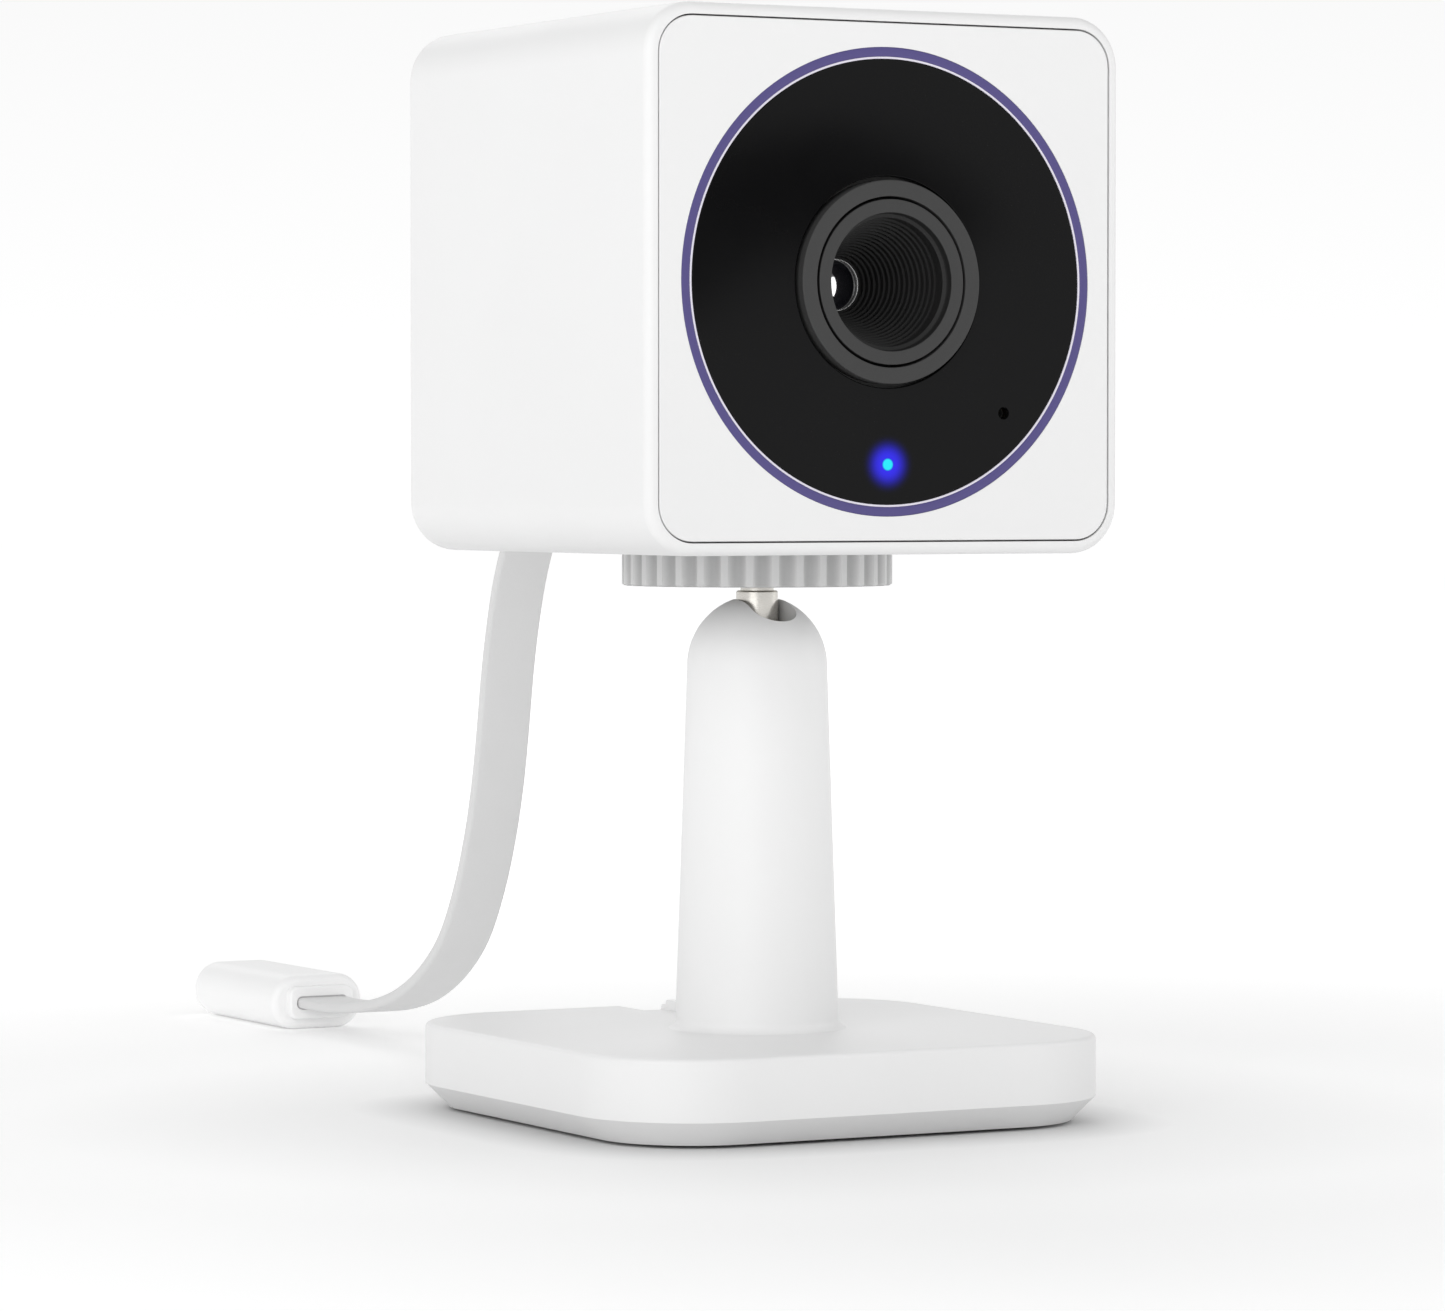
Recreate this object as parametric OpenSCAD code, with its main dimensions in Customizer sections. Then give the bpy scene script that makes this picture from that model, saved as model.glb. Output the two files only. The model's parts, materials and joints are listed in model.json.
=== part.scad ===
// Small cube security camera on a ball-joint desk stand, with a flat cable pigtail.
// Millimetres. +Z up, the front looks along -Y. Origin: centre of the base's footprint, on the floor.

/* [Head] */
// Width of the camera head
head_w = 50; // [42:0.5:62]
// Height of the camera head
head_h = 50; // [41:0.1:62]
// Depth of the camera head, front to rear
head_d = 50; // [46:0.5:62]
// Radius of the four long edges of the head
head_corner_r = 4.7; // [3:0.1:7]
// Rounding of the front and rear rims
head_edge_r = 1; // [0.5:0.1:1.1]
// Side wall of the housing
wall = 2; // [1.5:0.1:3]
// Rear wall of the housing
rear_wall = 2.2; // [1.8:0.1:3]

/* [Front face] */
// Rim of the housing that shows around the front panel
rim_w = 1.15; // [0.9:0.05:1.4]
// Open seam between the housing rim and the front panel
seam = 0.15; // [0.1:0.05:0.3]
// Thickness of the front panel
panel_t = 2.2; // [1.5:0.1:3]
// White border between the panel's edge and the accent ring
ring_border = 2.2; // [1.5:0.1:3.5]
// Width of the accent ring
ring_w = 0.88; // [0.6:0.02:1.5]
// Width of the pale lip between ring and glass
lip_w = 0.2; // [0.16:0.02:0.5]
// Thickness of the black front glass
glass_t = 1.1; // [0.8:0.1:1.6]
// Thickness of the gasket behind the front panel
gasket_t = 0.5; // [0.3:0.1:1]

/* [Lens] */
// Outer radius of the lens bezel
bezel_r = 9.34; // [8:0.02:11.2]
// Gap between the bezel and the hole in the glass
bezel_gap = 0.36; // [0.2:0.02:0.6]
// How far the bezel stands proud of the head's front
bezel_proud = 0.7; // [0.3:0.1:1.5]
// Outer radius of the lens hood inside the bezel
hood_r = 7.7; // [6.9:0.1:7.9]
// Radius of the hood's mouth, at its face
mouth_r = 6.35; // [6:0.05:6.6]
// Radius of the first light trap ring
trap_r = 5.93; // [5.5:0.05:5.95]
// Radius of the window that the light traps end in
pupil_r = 2.45; // [2:0.05:3]
// Depth of the light traps behind the hood's face
trap_depth = 10.5; // [8:0.5:11]
// Number of light trap rings
traps = 16; // [8:1:20]
// Radius of the lens barrel
barrel_r = 6; // [5:0.1:6.4]
// Length of the lens barrel
barrel_len = 10.2; // [9:0.1:10.6]
// Travel of the infrared filter carriage
filter_travel = 5.6; // [5.2:0.1:6]

/* [Stand] */
// Side of the square base
base_side = 53.4; // [46:0.2:66]
// Corner radius of the base
base_corner_r = 11.7; // [9:0.1:14]
// Height of the base
base_h = 8.4; // [7.8:0.1:12]
// Height of the chamfer under the base
chamfer_h = 2.6; // [2.2:0.1:3]
// Inset of the chamfer at the floor
chamfer_in = 2.4; // [1.5:0.1:3]
// Wall of the base shell
base_wall = 2.2; // [1.8:0.1:3]
// Height of the ball's centre above the base
ball_up = 34.6; // [28:0.1:44]
// Radius of the post's dome
dome_r = 6.7; // [6.5:0.1:8]
// Radius of the post at its foot
foot_r = 7.8; // [7.5:0.1:9.5]
// Radius of the steel ball
ball_r = 4.5; // [3.7:0.05:4.6]
// Radius of the ball stud's neck
neck_r = 2; // [1.6:0.1:2]
// Largest forward tilt
tilt_max = 30; // [15:1:35]
// Radius of the mounting thread
thread_r = 3.1; // [2.6:0.05:3.175]
// Distance from the ball's centre to the head
head_up = 10.85; // [10.6:0.05:14]
// Thickness of the fluted lock nut
nut_t = 3.15; // [2.8:0.05:3.2]
// Outer radius of the lock nut
nut_r = 12.9; // [10:0.1:13.2]
// Number of flutes around the lock nut
flutes = 34; // [20:1:40]

/* [Cable] */
// Width of the flat cable
cord_w = 5.8; // [4.8:0.1:6]
// Thickness of the flat cable
cord_t = 1.2; // [1:0.1:1.3]
// Width of the in-line connector
plug_w = 10.9; // [10.4:0.1:13]
// Height of the in-line connector
plug_h = 6; // [5.4:0.1:6]
// Length of the in-line connector
plug_len = 21.8; // [18:0.1:26]

/* [Fits] */
// Running clearance of a pin in its hole
run = 0.05; // [0.03:0.01:0.08]
// Clearance between the ball and its socket
socket_gap = 0.1; // [0.06:0.01:0.1]
// Loose clearance around parts that move freely
loose = 0.2; // [0.15:0.05:0.3]

/* [Hidden] */
$fn = 96;

// Places along the head's depth. Front parts hang from the front, boards from the rear wall.
front = -head_d / 2;
rear = head_d / 2;
rear_in = rear - rear_wall;
panel_back = front + panel_t;
gasket_back = panel_back + gasket_t;
head_z = base_h + ball_up + head_up;
head_mid = head_z + head_h / 2;
ball_z = base_h + ball_up;
floor_in = head_z + wall;

// Front panel, ring and glass
panel_w = head_w - 2 * (rim_w + seam);
panel_h = head_h - 2 * (rim_w + seam);
panel_r = head_corner_r - rim_w - seam;
ring_r = min(panel_w, panel_h) / 2 - ring_border;
lip_r = ring_r - ring_w;
glass_r = lip_r - lip_w;
glass_sink = 0.05;
glass_front = front + glass_sink;
glass_back = glass_front + glass_t;
shoulder_w = 1;
carrier_back = glass_back + 2.25;
snap_w = 8;
snap_t = 1.2;
snap_len = 6;
snap_in = 9;

// Things that sit behind the glass
led_drop = glass_r - 3.7;
led_pipe_r = 0.6;
mic_at = glass_r - 3.2;
mic_angle = -44;
mic_hole_r = 0.58;
mic_tube_r = 1.5;
board_t = 1;
led_board_r = glass_r - 0.2;
emitter_r = 1.5;
mic_t = 1.1;
led_t = 0.6;

// Lens stack
face = front - bezel_proud;
glass_hole_r = bezel_r + bezel_gap;
flange_r = glass_hole_r + 0.9;
flange_t = 1.2;
groove = 0.08;
trap_start = 1.6;
trap_end = face + trap_depth;
trap_pitch = (trap_depth - trap_start) / traps;
trap_drop = (trap_r - pupil_r) / traps;
barrel_end = trap_end + barrel_len;
retainer_t = 0.3;
front_lens_t = 2;
rear_lens_r = 3.5;
holder_front = barrel_end - 4;
filter_room = 4.6;
holder_back = barrel_end + filter_room;
holder_w = 22;
holder_h = 15;
carriage_t = 0.8;
carriage_h = 6.4;
window_r = 2.3;
window_edge = 0.95;
carriage_y = barrel_end + 0.9;
sensor_t = 0.9;

// Circuit boards
sensor_board_h = head_h - 20;
sensor_board_w = head_w - 18;
sensor_back = holder_back + board_t;
main_t = 1.2;
main_back = rear_in - 7.6;
main_front = main_back - main_t;
chip_t = 1.2;
sink_air = 0.4;
sink_w = 18;
sink_h = sensor_board_h - 14;
spacer_in = 2;
main_w = head_w - 2 * wall - 4;
main_h = head_h - 2 * wall - 4;
boss_r = 2.2;
screw_r = 0.8;
screw_head_r = 1.6;
screw_head_t = 0.9;
boss_in = 3;
boss_places = [
    [-main_w / 2 + boss_in, main_h / 2 - boss_in],
    [main_w / 2 - boss_in, main_h / 2 - boss_in],
    [-main_w / 2 + boss_in, -main_h / 2 + boss_in],
    [main_w / 2 - boss_in, -main_h / 2 + 17]
];

// Speaker and rear grille
speaker_r = 8.5;
speaker_t = 4.2;
speaker_up = head_h / 2 - 18;
grille_r = 0.6;
grille_step = 2.4;

// Plug of the power lead, and the memory card with its socket and flap
header_w = 7;
header_h = 3;
card_w = 11;
card_t = 0.8;
card_len = 15;
card_y = main_back + 1.1;
card_bottom = floor_in - 0.2;
card_slot = 0.3;
socket_w = 14;
card_x = header_w / 2 + socket_w / 2 + 1;
socket_h = 14;
socket_t = 2;
flap_w = 15.2;
flap_t = 1.1;
flap_back = card_y + 4;
flap_front = card_y - 1.6;
flap_axis_y = flap_back - flap_t / 2;
flap_axis_z = head_z + flap_t / 2;

// Setup button
button_x = -main_w / 2 + 8;
button_down = 12;
button_r = 2;
button_proud = 0.2;
button_flange_r = 2.8;
button_flange_t = 1;
button_travel = 0.6;
switch_w = 4.5;
switch_t = 1.4;
switch_stem_t = 0.4;
button_tip = main_back + switch_t + switch_stem_t + button_travel + 0.1;

// Cable outlet
outlet_up = 11.65;
outlet_z = head_z + outlet_up;
grommet_out = 1.5;
grommet_w = cord_w + 3;
grommet_h = cord_t + 3;
grommet_flange = 1.2;
lead_start = main_back + 3;

// Ball stud, nut and insert
hole_r = neck_r + 0.3;
undercut_r = neck_r - 0.4;
insert_r = thread_r + 1.3;
insert_len = 8;
insert_boss_r = insert_r + 2;
shank_top = head_z + 7;
nut_gap = 0.05;
nut_top = head_z - nut_gap;
nut_bottom = nut_top - nut_t;
washer_r = 8;
washer_t = 0.4;
flute_r = 0.95;
flute_out = 0.42;

// Base and post
ball_socket_r = ball_r + socket_gap;
bore_r = ball_r + 2 * socket_gap;
spigot_r = bore_r + 1.9;
spigot_end = base_h - 5.2;
flare_r = 0.9;
base_top = 2.4;
cavity_top = base_h - base_top;
cover_bottom = 0.3;
pad_in = 1.5;
pad_t = 1;
pad_recess = pad_t;
weight_t = cavity_top - chamfer_h - loose;
post_nut_t = 2.2;
post_nut_af = 2 * spigot_r + 4;
weight_hole_r = post_nut_af / sqrt(3) + 1;
cover_boss_r = 2.4;
cover_boss_in = 9.2;
cover_screw_r = 0.9;
plug_height = 6;
plug_z = spigot_end + 0.2;
socket_hex = 4;
cup_bottom = plug_z + plug_height + 13;
wire_r = 0.45;
coil_r = bore_r - 1.1;
coils = 7;

// Cable channel in the base's rear edge
channel_x = 1.2;
channel_w = 5;
channel_d = 0.6;
channel_len = 16;
rib_w = 1.1;
rib_h = 0.45;

// Route of the flat cable behind the head, as [y, z], from the outlet to the connector
route = [
    [26.5, 65.5], [30, 65.5], [35, 65], [39, 63.6], [43, 61], [46.5, 57.5], [49, 53.8],
    [51, 49.8], [52.6, 45], [53.8, 40], [54.8, 34.5], [56, 29], [57.8, 23.4], [60.4, 17.8],
    [64, 12.6], [68.8, 8.8], [74.6, 6], [81, 4.3], [88, 3.4], [94, 3], [100, 3]
];
plug_y = 100.8;
plug_z0 = 3;
collar_out = 1.1;
collar_w = cord_w + 1.8;
collar_h = cord_t + 2.4;
slot_gap = 0.15;
usb_w = 8.94;
usb_h = 3.2;
usb_wall = 0.3;
usb_depth = 7.4;
tongue_w = 6.7;
tongue_t = 0.7;

// ---- Shapes that repeat ----

// Rounded rectangle, centred
module rounded(w, h, r) {
    square([w - 2 * r, h], center = true);
    square([w, h - 2 * r], center = true);
    for (x = [-1, 1], y = [-1, 1])
        translate([x * (w / 2 - r), y * (h / 2 - r)]) circle(r);
}

// Upright plate between two places on the head's depth, centred on the lens axis
module plate(y0, y1, w, h, r) {
    translate([0, y1, head_mid]) rotate([90, 0, 0]) linear_extrude(y1 - y0) rounded(w, h, r);
}

// Rod along the head's depth, at x and at a height from the lens axis
module rod(y0, y1, r, x = 0, up = 0) {
    translate([x, y0, head_mid + up]) rotate([-90, 0, 0]) cylinder(r = r, h = y1 - y0);
}

// Ring along the head's depth
module tube(y0, y1, r_out, r_in, x = 0, up = 0) {
    difference() {
        rod(y0, y1, r_out, x, up);
        rod(y0 - 1, y1 + 1, r_in, x, up);
    }
}

// Box between two corners
module block(a, b) {
    translate(a) cube(b - a);
}

// Flat oval bar along Y, for the cable's outlet and its connector
module bar(y0, y1, w, h, r, z) {
    translate([0, y1, z]) rotate([90, 0, 0]) linear_extrude(y1 - y0) rounded(w, h, r);
}

// ---- Stand ----

module base_outline(inset) {
    rounded(base_side - 2 * inset, base_side - 2 * inset, base_corner_r - inset);
}

module at_cover_bosses() {
    at = base_side / 2 - cover_boss_in;
    for (x = [-1, 1], y = [-1, 1]) translate([x * at, y * at, 0]) children();
}

module base_shell() {
    color("white") difference() {
        union() {
            difference() {
                translate([0, 0, chamfer_h]) linear_extrude(base_h - chamfer_h) base_outline(0);
                translate([0, 0, chamfer_h - 1])
                    linear_extrude(cavity_top - chamfer_h + 1) base_outline(base_wall);
            }
            at_cover_bosses() translate([0, 0, chamfer_h])
                cylinder(r = cover_boss_r, h = cavity_top - chamfer_h + 1);
            translate([channel_x + channel_w / 2, base_side / 2 - channel_len, base_h - 1])
                cube([rib_w, channel_len - 1, rib_h + 1]);
        }
        translate([channel_x - channel_w / 2, base_side / 2 - channel_len, base_h - channel_d])
            cube([channel_w, channel_len + 1, channel_d + 1]);
        translate([0, 0, cavity_top - 1]) cylinder(r = spigot_r + run, h = base_top + 2);
        at_cover_bosses() translate([0, 0, chamfer_h - 1])
            cylinder(r = cover_screw_r, h = cavity_top - chamfer_h + 1);
    }
}

module base_cover() {
    color("gainsboro") difference() {
        hull() {
            translate([0, 0, cover_bottom]) linear_extrude(0.01) base_outline(chamfer_in, $fn = 64);
            translate([0, 0, chamfer_h - 0.01]) linear_extrude(0.01) base_outline(0, $fn = 64);
        }
        translate([0, 0, -1]) linear_extrude(pad_recess + 1) base_outline(chamfer_in + pad_in);
        at_cover_bosses() cylinder(r = cover_screw_r + 0.1, h = base_h);
        at_cover_bosses() cylinder(r = cover_boss_r, h = pad_recess + 0.8);
    }
}

module weight_plate() {
    color("darkgray") difference() {
        translate([0, 0, chamfer_h]) linear_extrude(weight_t) base_outline(base_wall + loose);
        translate([0, 0, chamfer_h - 1]) cylinder(r = weight_hole_r, h = weight_t + 2);
        at_cover_bosses() translate([0, 0, chamfer_h - 1])
            cylinder(r = cover_boss_r + loose, h = weight_t + 2);
    }
}

module foot_pad() {
    color("dimgray") linear_extrude(pad_t) base_outline(chamfer_in + pad_in + run);
}

module cover_screws() {
    color("silver") at_cover_bosses() {
        translate([0, 0, pad_recess]) cylinder(r = cover_boss_r - 0.4, h = 0.8);
        translate([0, 0, pad_recess]) cylinder(r = cover_screw_r, h = cavity_top - pad_recess - 0.4);
    }
}

// Outline of the post to one side of its axis: dome, taper and flared foot
module post_outline() {
    intersection() {
        translate([0, spigot_end - 1]) square([2 * foot_r, ball_z + 2 * dome_r]);
        union() {
            translate([0, ball_z]) circle(dome_r);
            polygon([[0, base_h], [foot_r, base_h], [dome_r, ball_z], [0, ball_z]]);
            difference() {
                translate([0, base_h]) square([foot_r + flare_r - 0.2, flare_r]);
                translate([foot_r + flare_r, base_h + flare_r]) circle(flare_r);
            }
            translate([0, spigot_end]) square([spigot_r, base_h - spigot_end + 1]);
        }
    }
}

// Way for the neck: upright hole and the notch that lets it lean forward
module neck_way() {
    translate([0, 0, ball_z]) hull() {
        cylinder(r = hole_r, h = 2 * dome_r, $fn = 32);
        rotate([tilt_max, 0, 0]) cylinder(r = hole_r, h = 2 * dome_r, $fn = 32);
    }
}

module post() {
    color("white") difference() {
        rotate_extrude() post_outline();
        translate([0, 0, ball_z]) sphere(r = ball_socket_r);
        translate([0, 0, spigot_end - 1]) cylinder(r = bore_r, h = ball_z - spigot_end + 1);
        neck_way();
    }
}

module post_nut() {
    color("silver") translate([0, 0, cavity_top - post_nut_t]) difference() {
        cylinder(r = post_nut_af / sqrt(3), h = post_nut_t, $fn = 6);
        translate([0, 0, -1]) cylinder(r = spigot_r, h = post_nut_t + 2);
    }
}

module tension_plug() {
    color("silver") translate([0, 0, plug_z]) difference() {
        cylinder(r = bore_r, h = plug_height);
        translate([0, 0, -1]) cylinder(r = socket_hex / sqrt(3), h = 4, $fn = 6);
    }
}

// Coil spring, swept by a loop along its own helix
function coil_ring(a, z, sides) = [
    for (k = [0:sides - 1]) let (b = 360 * k / sides, r = coil_r + wire_r * cos(b))
        [r * cos(a), r * sin(a), z + wire_r * sin(b)]
];

module sweep(rings, sides) {
    n = len(rings);
    points = [for (ring = rings) each ring];
    walls = [
        for (i = [0:n - 2], k = [0:sides - 1]) let (m = (k + 1) % sides)
            [i * sides + k, (i + 1) * sides + k, (i + 1) * sides + m, i * sides + m]
    ];
    first = [for (k = [0:sides - 1]) k];
    last = [for (k = [sides - 1:-1:0]) (n - 1) * sides + k];
    polyhedron(points, concat(walls, [first, last]), convexity = 10);
}

module seat_spring() {
    sides = 8;
    steps = coils * 16;
    z0 = plug_z + plug_height + wire_r;
    rise = (cup_bottom - wire_r - z0) / steps;
    color("silver") sweep([for (i = [0:steps]) coil_ring(360 * i / 16, z0 + rise * i, sides)], sides);
}

module seat_cup() {
    color("ivory") difference() {
        translate([0, 0, cup_bottom]) cylinder(r = bore_r - run, h = ball_z - 1 - cup_bottom);
        translate([0, 0, ball_z]) sphere(r = ball_socket_r);
        translate([0, 0, cup_bottom - 1]) cylinder(r = bore_r - 2.6, h = 12);
    }
}

module ball_stud() {
    color("silver") {
        translate([0, 0, ball_z]) sphere(r = ball_r);
        translate([0, 0, ball_z]) cylinder(r = neck_r, h = nut_bottom - 0.5 - ball_z);
        translate([0, 0, ball_z + ball_r]) cylinder(r = undercut_r, h = nut_bottom + 0.2 - ball_z - ball_r);
        translate([0, 0, nut_bottom]) cylinder(r = thread_r, h = shank_top - nut_bottom);
    }
}

module lock_washer() {
    color("lightgray") translate([0, 0, head_z - washer_t]) difference() {
        cylinder(r = washer_r, h = washer_t);
        translate([0, 0, -1]) cylinder(r = thread_r + loose, h = washer_t + 2);
    }
}

module lock_nut() {
    color("gainsboro") difference() {
        translate([0, 0, nut_bottom]) linear_extrude(nut_t) difference() {
            circle(nut_r);
            for (i = [0:flutes - 1]) rotate(360 * i / flutes)
                translate([nut_r + flute_out, 0]) circle(flute_r, $fn = 32);
        }
        translate([0, 0, nut_bottom - 1]) cylinder(r = thread_r + run, h = nut_t + 2);
        translate([0, 0, nut_top - washer_t + nut_gap]) cylinder(r = washer_r + loose, h = 1);
    }
}

// ---- Head: shell and front ----

// Block with rounded long edges and rounded rims, as three profiles crossed
module head_block() {
    intersection() {
        plate(front, rear, head_w, head_h, head_corner_r);
        translate([0, 0, head_z - 1]) linear_extrude(head_h + 2) rounded(head_w, head_d, head_edge_r);
        translate([-head_w / 2 - 1, 0, head_mid]) rotate([90, 0, 90])
            linear_extrude(head_w + 2) rounded(head_d, head_h, head_edge_r);
    }
}

module at_bosses() {
    for (p = boss_places) translate([p[0], 0, p[1]]) children();
}

module housing() {
    color("white") difference() {
        union() {
            difference() {
                head_block();
                plate(front - 1, gasket_back, panel_w + 2 * seam, panel_h + 2 * seam, panel_r + seam);
                plate(gasket_back - 1, rear_in, head_w - 2 * wall, head_h - 2 * wall, head_corner_r - wall);
            }
            translate([0, 0, head_z + 0.5]) cylinder(r = insert_boss_r, h = insert_len + 0.5);
            at_bosses() rod(main_back, rear_in + 1, boss_r);
        }
        at_bosses() rod(main_back - 1, rear_in - 2, screw_r);
        translate([0, 0, head_z - 1]) cylinder(r = insert_r, h = insert_len + 3);
        grille();
        rod(rear_in - 1, rear + 1, button_r + 0.15, button_x, -button_down);
        bar(rear_in - 1, rear + 1, grommet_w, grommet_h, grommet_h / 2 - 0.01, outlet_z);
        block([card_x - flap_w / 2 - loose, flap_front - loose, head_z - 1],
              [card_x + flap_w / 2 + loose, flap_back + loose, head_z + flap_t + 0.1]);
        block([card_x - card_w / 2 - card_slot, card_y - card_slot, head_z],
              [card_x + card_w / 2 + card_slot, card_y + card_t + card_slot, floor_in + 0.5]);
    }
}

// Rear holes over the speaker: one in the middle and two rings
module grille() {
    rod(rear_in - 1, rear + 1, grille_r, 0, speaker_up);
    for (ring = [1, 2], i = [0:6 * ring - 1]) {
        a = 360 * i / (6 * ring);
        rod(rear_in - 1, rear + 1, grille_r, grille_step * ring * cos(a),
            speaker_up + grille_step * ring * sin(a));
    }
}

module thread_insert() {
    color("goldenrod") translate([0, 0, head_z + 0.4]) difference() {
        cylinder(r = insert_r, h = insert_len);
        translate([0, 0, -1]) cylinder(r = thread_r + run, h = insert_len + 2);
    }
}

module front_panel() {
    color("white") {
        difference() {
            plate(front, panel_back, panel_w, panel_h, panel_r);
            rod(front - 1, panel_back + 1, ring_r);
        }
        for (x = [-1, 1], z = [-1, 1])
            translate([x * (head_w / 2 - wall - loose - snap_t / 2), panel_back - 0.5,
                       head_mid + z * (head_h / 2 - snap_in)])
                translate([-snap_t / 2, 0, -snap_w / 2]) cube([snap_t, snap_len + 0.5, snap_w]);
    }
}

module panel_gasket() {
    color("dimgray") difference() {
        plate(panel_back, gasket_back, panel_w, panel_h, panel_r);
        plate(panel_back - 1, gasket_back + 1, head_w - 2 * wall, head_h - 2 * wall, head_corner_r - wall);
    }
}

module accent_ring() {
    color("slateblue") tube(front, panel_back, ring_r, lip_r);
}

module glass_carrier() {
    color("whitesmoke") difference() {
        union() {
            rod(front, panel_back + 0.1, lip_r);
            rod(panel_back, carrier_back, ring_r + 0.9);
        }
        rod(front - 1, glass_back, glass_r);
        rod(front - 1, carrier_back + 1, glass_r - shoulder_w);
    }
}

module front_glass() {
    color("black") difference() {
        rod(glass_front, glass_back, glass_r);
        rod(front - 1, glass_back + 1, glass_hole_r);
        rod(front - 1, glass_back + 1, led_pipe_r, 0, -led_drop);
        rod(front - 1, glass_back + 1, mic_hole_r, mic_at * cos(mic_angle), mic_at * sin(mic_angle));
    }
}

// ---- Head: lens ----

module lens_bezel() {
    color("dimgray") difference() {
        union() {
            rod(face, glass_back + 0.1, bezel_r);
            rod(glass_back, glass_back + flange_t, flange_r);
        }
        rod(face - 1, glass_back + flange_t + 1, hood_r + groove);
    }
}

module lens_hood() {
    color("dimgray") difference() {
        union() {
            rod(face, glass_back + flange_t + 0.5, hood_r);
            rod(glass_back + flange_t, glass_back + flange_t + 1, flange_r - 1.4);
            rod(glass_back, trap_end, barrel_r + 0.9);
        }
        rod(face - 1, face + 0.6, mouth_r);
        for (i = [0:traps - 1]) {
            y = i == 0 ? face + 0.5 : face + trap_start + i * trap_pitch;
            rod(y - 0.1, face + trap_start + (i + 1) * trap_pitch, trap_r - i * trap_drop);
        }
        rod(face, trap_end + 1, pupil_r);
    }
}

module lens_retainer() {
    color("lightgray") tube(trap_end, trap_end + retainer_t, pupil_r, pupil_r - 0.25);
}

module front_lens() {
    y = trap_end + retainer_t;
    bulge = 0.25;
    color("lightblue") {
        rod(y, y + front_lens_t, pupil_r);
        intersection() {
            rod(y - bulge, y + 1, pupil_r - 0.25);
            translate([0, y - bulge + 6, head_mid]) sphere(r = 6);
        }
    }
}

module lens_barrel() {
    color("black") difference() {
        rod(trap_end, barrel_end, barrel_r);
        rod(trap_end - 1, trap_end + retainer_t + front_lens_t, pupil_r);
        rod(trap_end, barrel_end, pupil_r - 0.9);
        rod(barrel_end - 3.5, barrel_end + 1, rear_lens_r);
    }
}

module rear_lens() {
    color("lightblue") rod(barrel_end - 3.5, barrel_end - 1.5, rear_lens_r);
}

module lens_holder() {
    travel_room = filter_travel + window_r + window_edge + 0.4;
    color("black") difference() {
        plate(holder_front, holder_back, holder_w, holder_h, 1);
        rod(holder_front - 1, barrel_end + 0.5, barrel_r + run / 2);
        block([-travel_room, barrel_end - 0.01, head_mid - carriage_h / 2 - loose],
              [travel_room, holder_back + 1, head_mid + carriage_h / 2 + loose]);
    }
}

module ir_cut_coil() {
    color("peru") rod(holder_front + 1, holder_front + 6, 2, holder_w / 2 + 2);
}

module filter_carriage() {
    side = window_r + window_edge;
    color("dimgray") difference() {
        block([-side, carriage_y, head_mid - carriage_h / 2],
              [filter_travel + side, carriage_y + carriage_t, head_mid + carriage_h / 2]);
        for (x = [0, filter_travel]) rod(carriage_y - 1, carriage_y + carriage_t + 1, window_r, x);
    }
}

module filter_glass() {
    color("lightpink") for (x = [0, filter_travel])
        rod(carriage_y + 0.2, carriage_y + carriage_t - 0.2, window_r, x);
}

module image_sensor() {
    color("darkslateblue") block([-4, holder_back - sensor_t, head_mid - 3],
                                 [4, holder_back, head_mid + 3]);
}

// ---- Head: electronics ----

module sensor_board() {
    color("darkgreen") plate(holder_back, sensor_back, sensor_board_w, sensor_board_h, 1);
}

module board_spacers() {
    color("goldenrod") for (x = [-1, 1], z = [-1, 1])
        translate([x * (sensor_board_w / 2 - spacer_in), sensor_back,
                   head_mid + z * (sensor_board_h / 2 - spacer_in)])
            rotate([-90, 0, 0]) cylinder(r = 1.8, h = main_front - sensor_back, $fn = 6);
}

module processor() {
    side = min(12, sink_h);
    color("black") block([-side / 2, main_front - chip_t, head_mid - side / 2],
                         [side / 2, main_front, head_mid + side / 2]);
}

module heat_sink() {
    top = main_front - chip_t;
    depth = top - sensor_back - sink_air;
    fin = depth * 0.6;
    color("silver") difference() {
        block([-sink_w / 2, top - depth, head_mid - sink_h / 2], [sink_w / 2, top, head_mid + sink_h / 2]);
        for (x = [-6:4:6])
            block([x - 1, top - depth - 1, head_mid - sink_h], [x + 1, top - depth + fin, head_mid + sink_h]);
    }
}

module main_board() {
    color("darkgreen") difference() {
        plate(main_front, main_back, main_w, main_h, 2);
        at_bosses() rod(main_front - 1, main_back + 1, screw_r + 0.1);
    }
}

module board_screws() {
    color("silver") at_bosses() {
        rod(main_front - screw_head_t, main_front, screw_head_r);
        rod(main_front - 0.1, main_back + 3, screw_r);
    }
}

module board_flex() {
    up = sensor_board_h / 2 - 4;
    color("orange") block([-4, sensor_back, head_mid + up], [4, main_front, head_mid + up + 0.3]);
}

module led_board() {
    color("darkgreen") tube(carrier_back, carrier_back + board_t, led_board_r, flange_r + 0.4);
}

module status_led() {
    color("blue") block([-0.8, carrier_back - led_t, head_mid - led_drop - 0.8],
                        [0.8, carrier_back, head_mid - led_drop + 0.8]);
}

module light_pipe() {
    color("deepskyblue") rod(glass_front, carrier_back - led_t, led_pipe_r, 0, -led_drop);
}

module ir_emitters() {
    at = (flange_r + glass_r - shoulder_w) / 2;
    color("lavender") for (a = [0, 60, 120, 180]) {
        rod(carrier_back - 0.8, carrier_back, emitter_r, at * cos(a), at * sin(a));
        rod(carrier_back - 1.6, carrier_back - 0.7, emitter_r - 0.4, at * cos(a), at * sin(a));
    }
}

module at_mic() {
    translate([mic_at * cos(mic_angle), 0, mic_at * sin(mic_angle)]) children();
}

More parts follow.
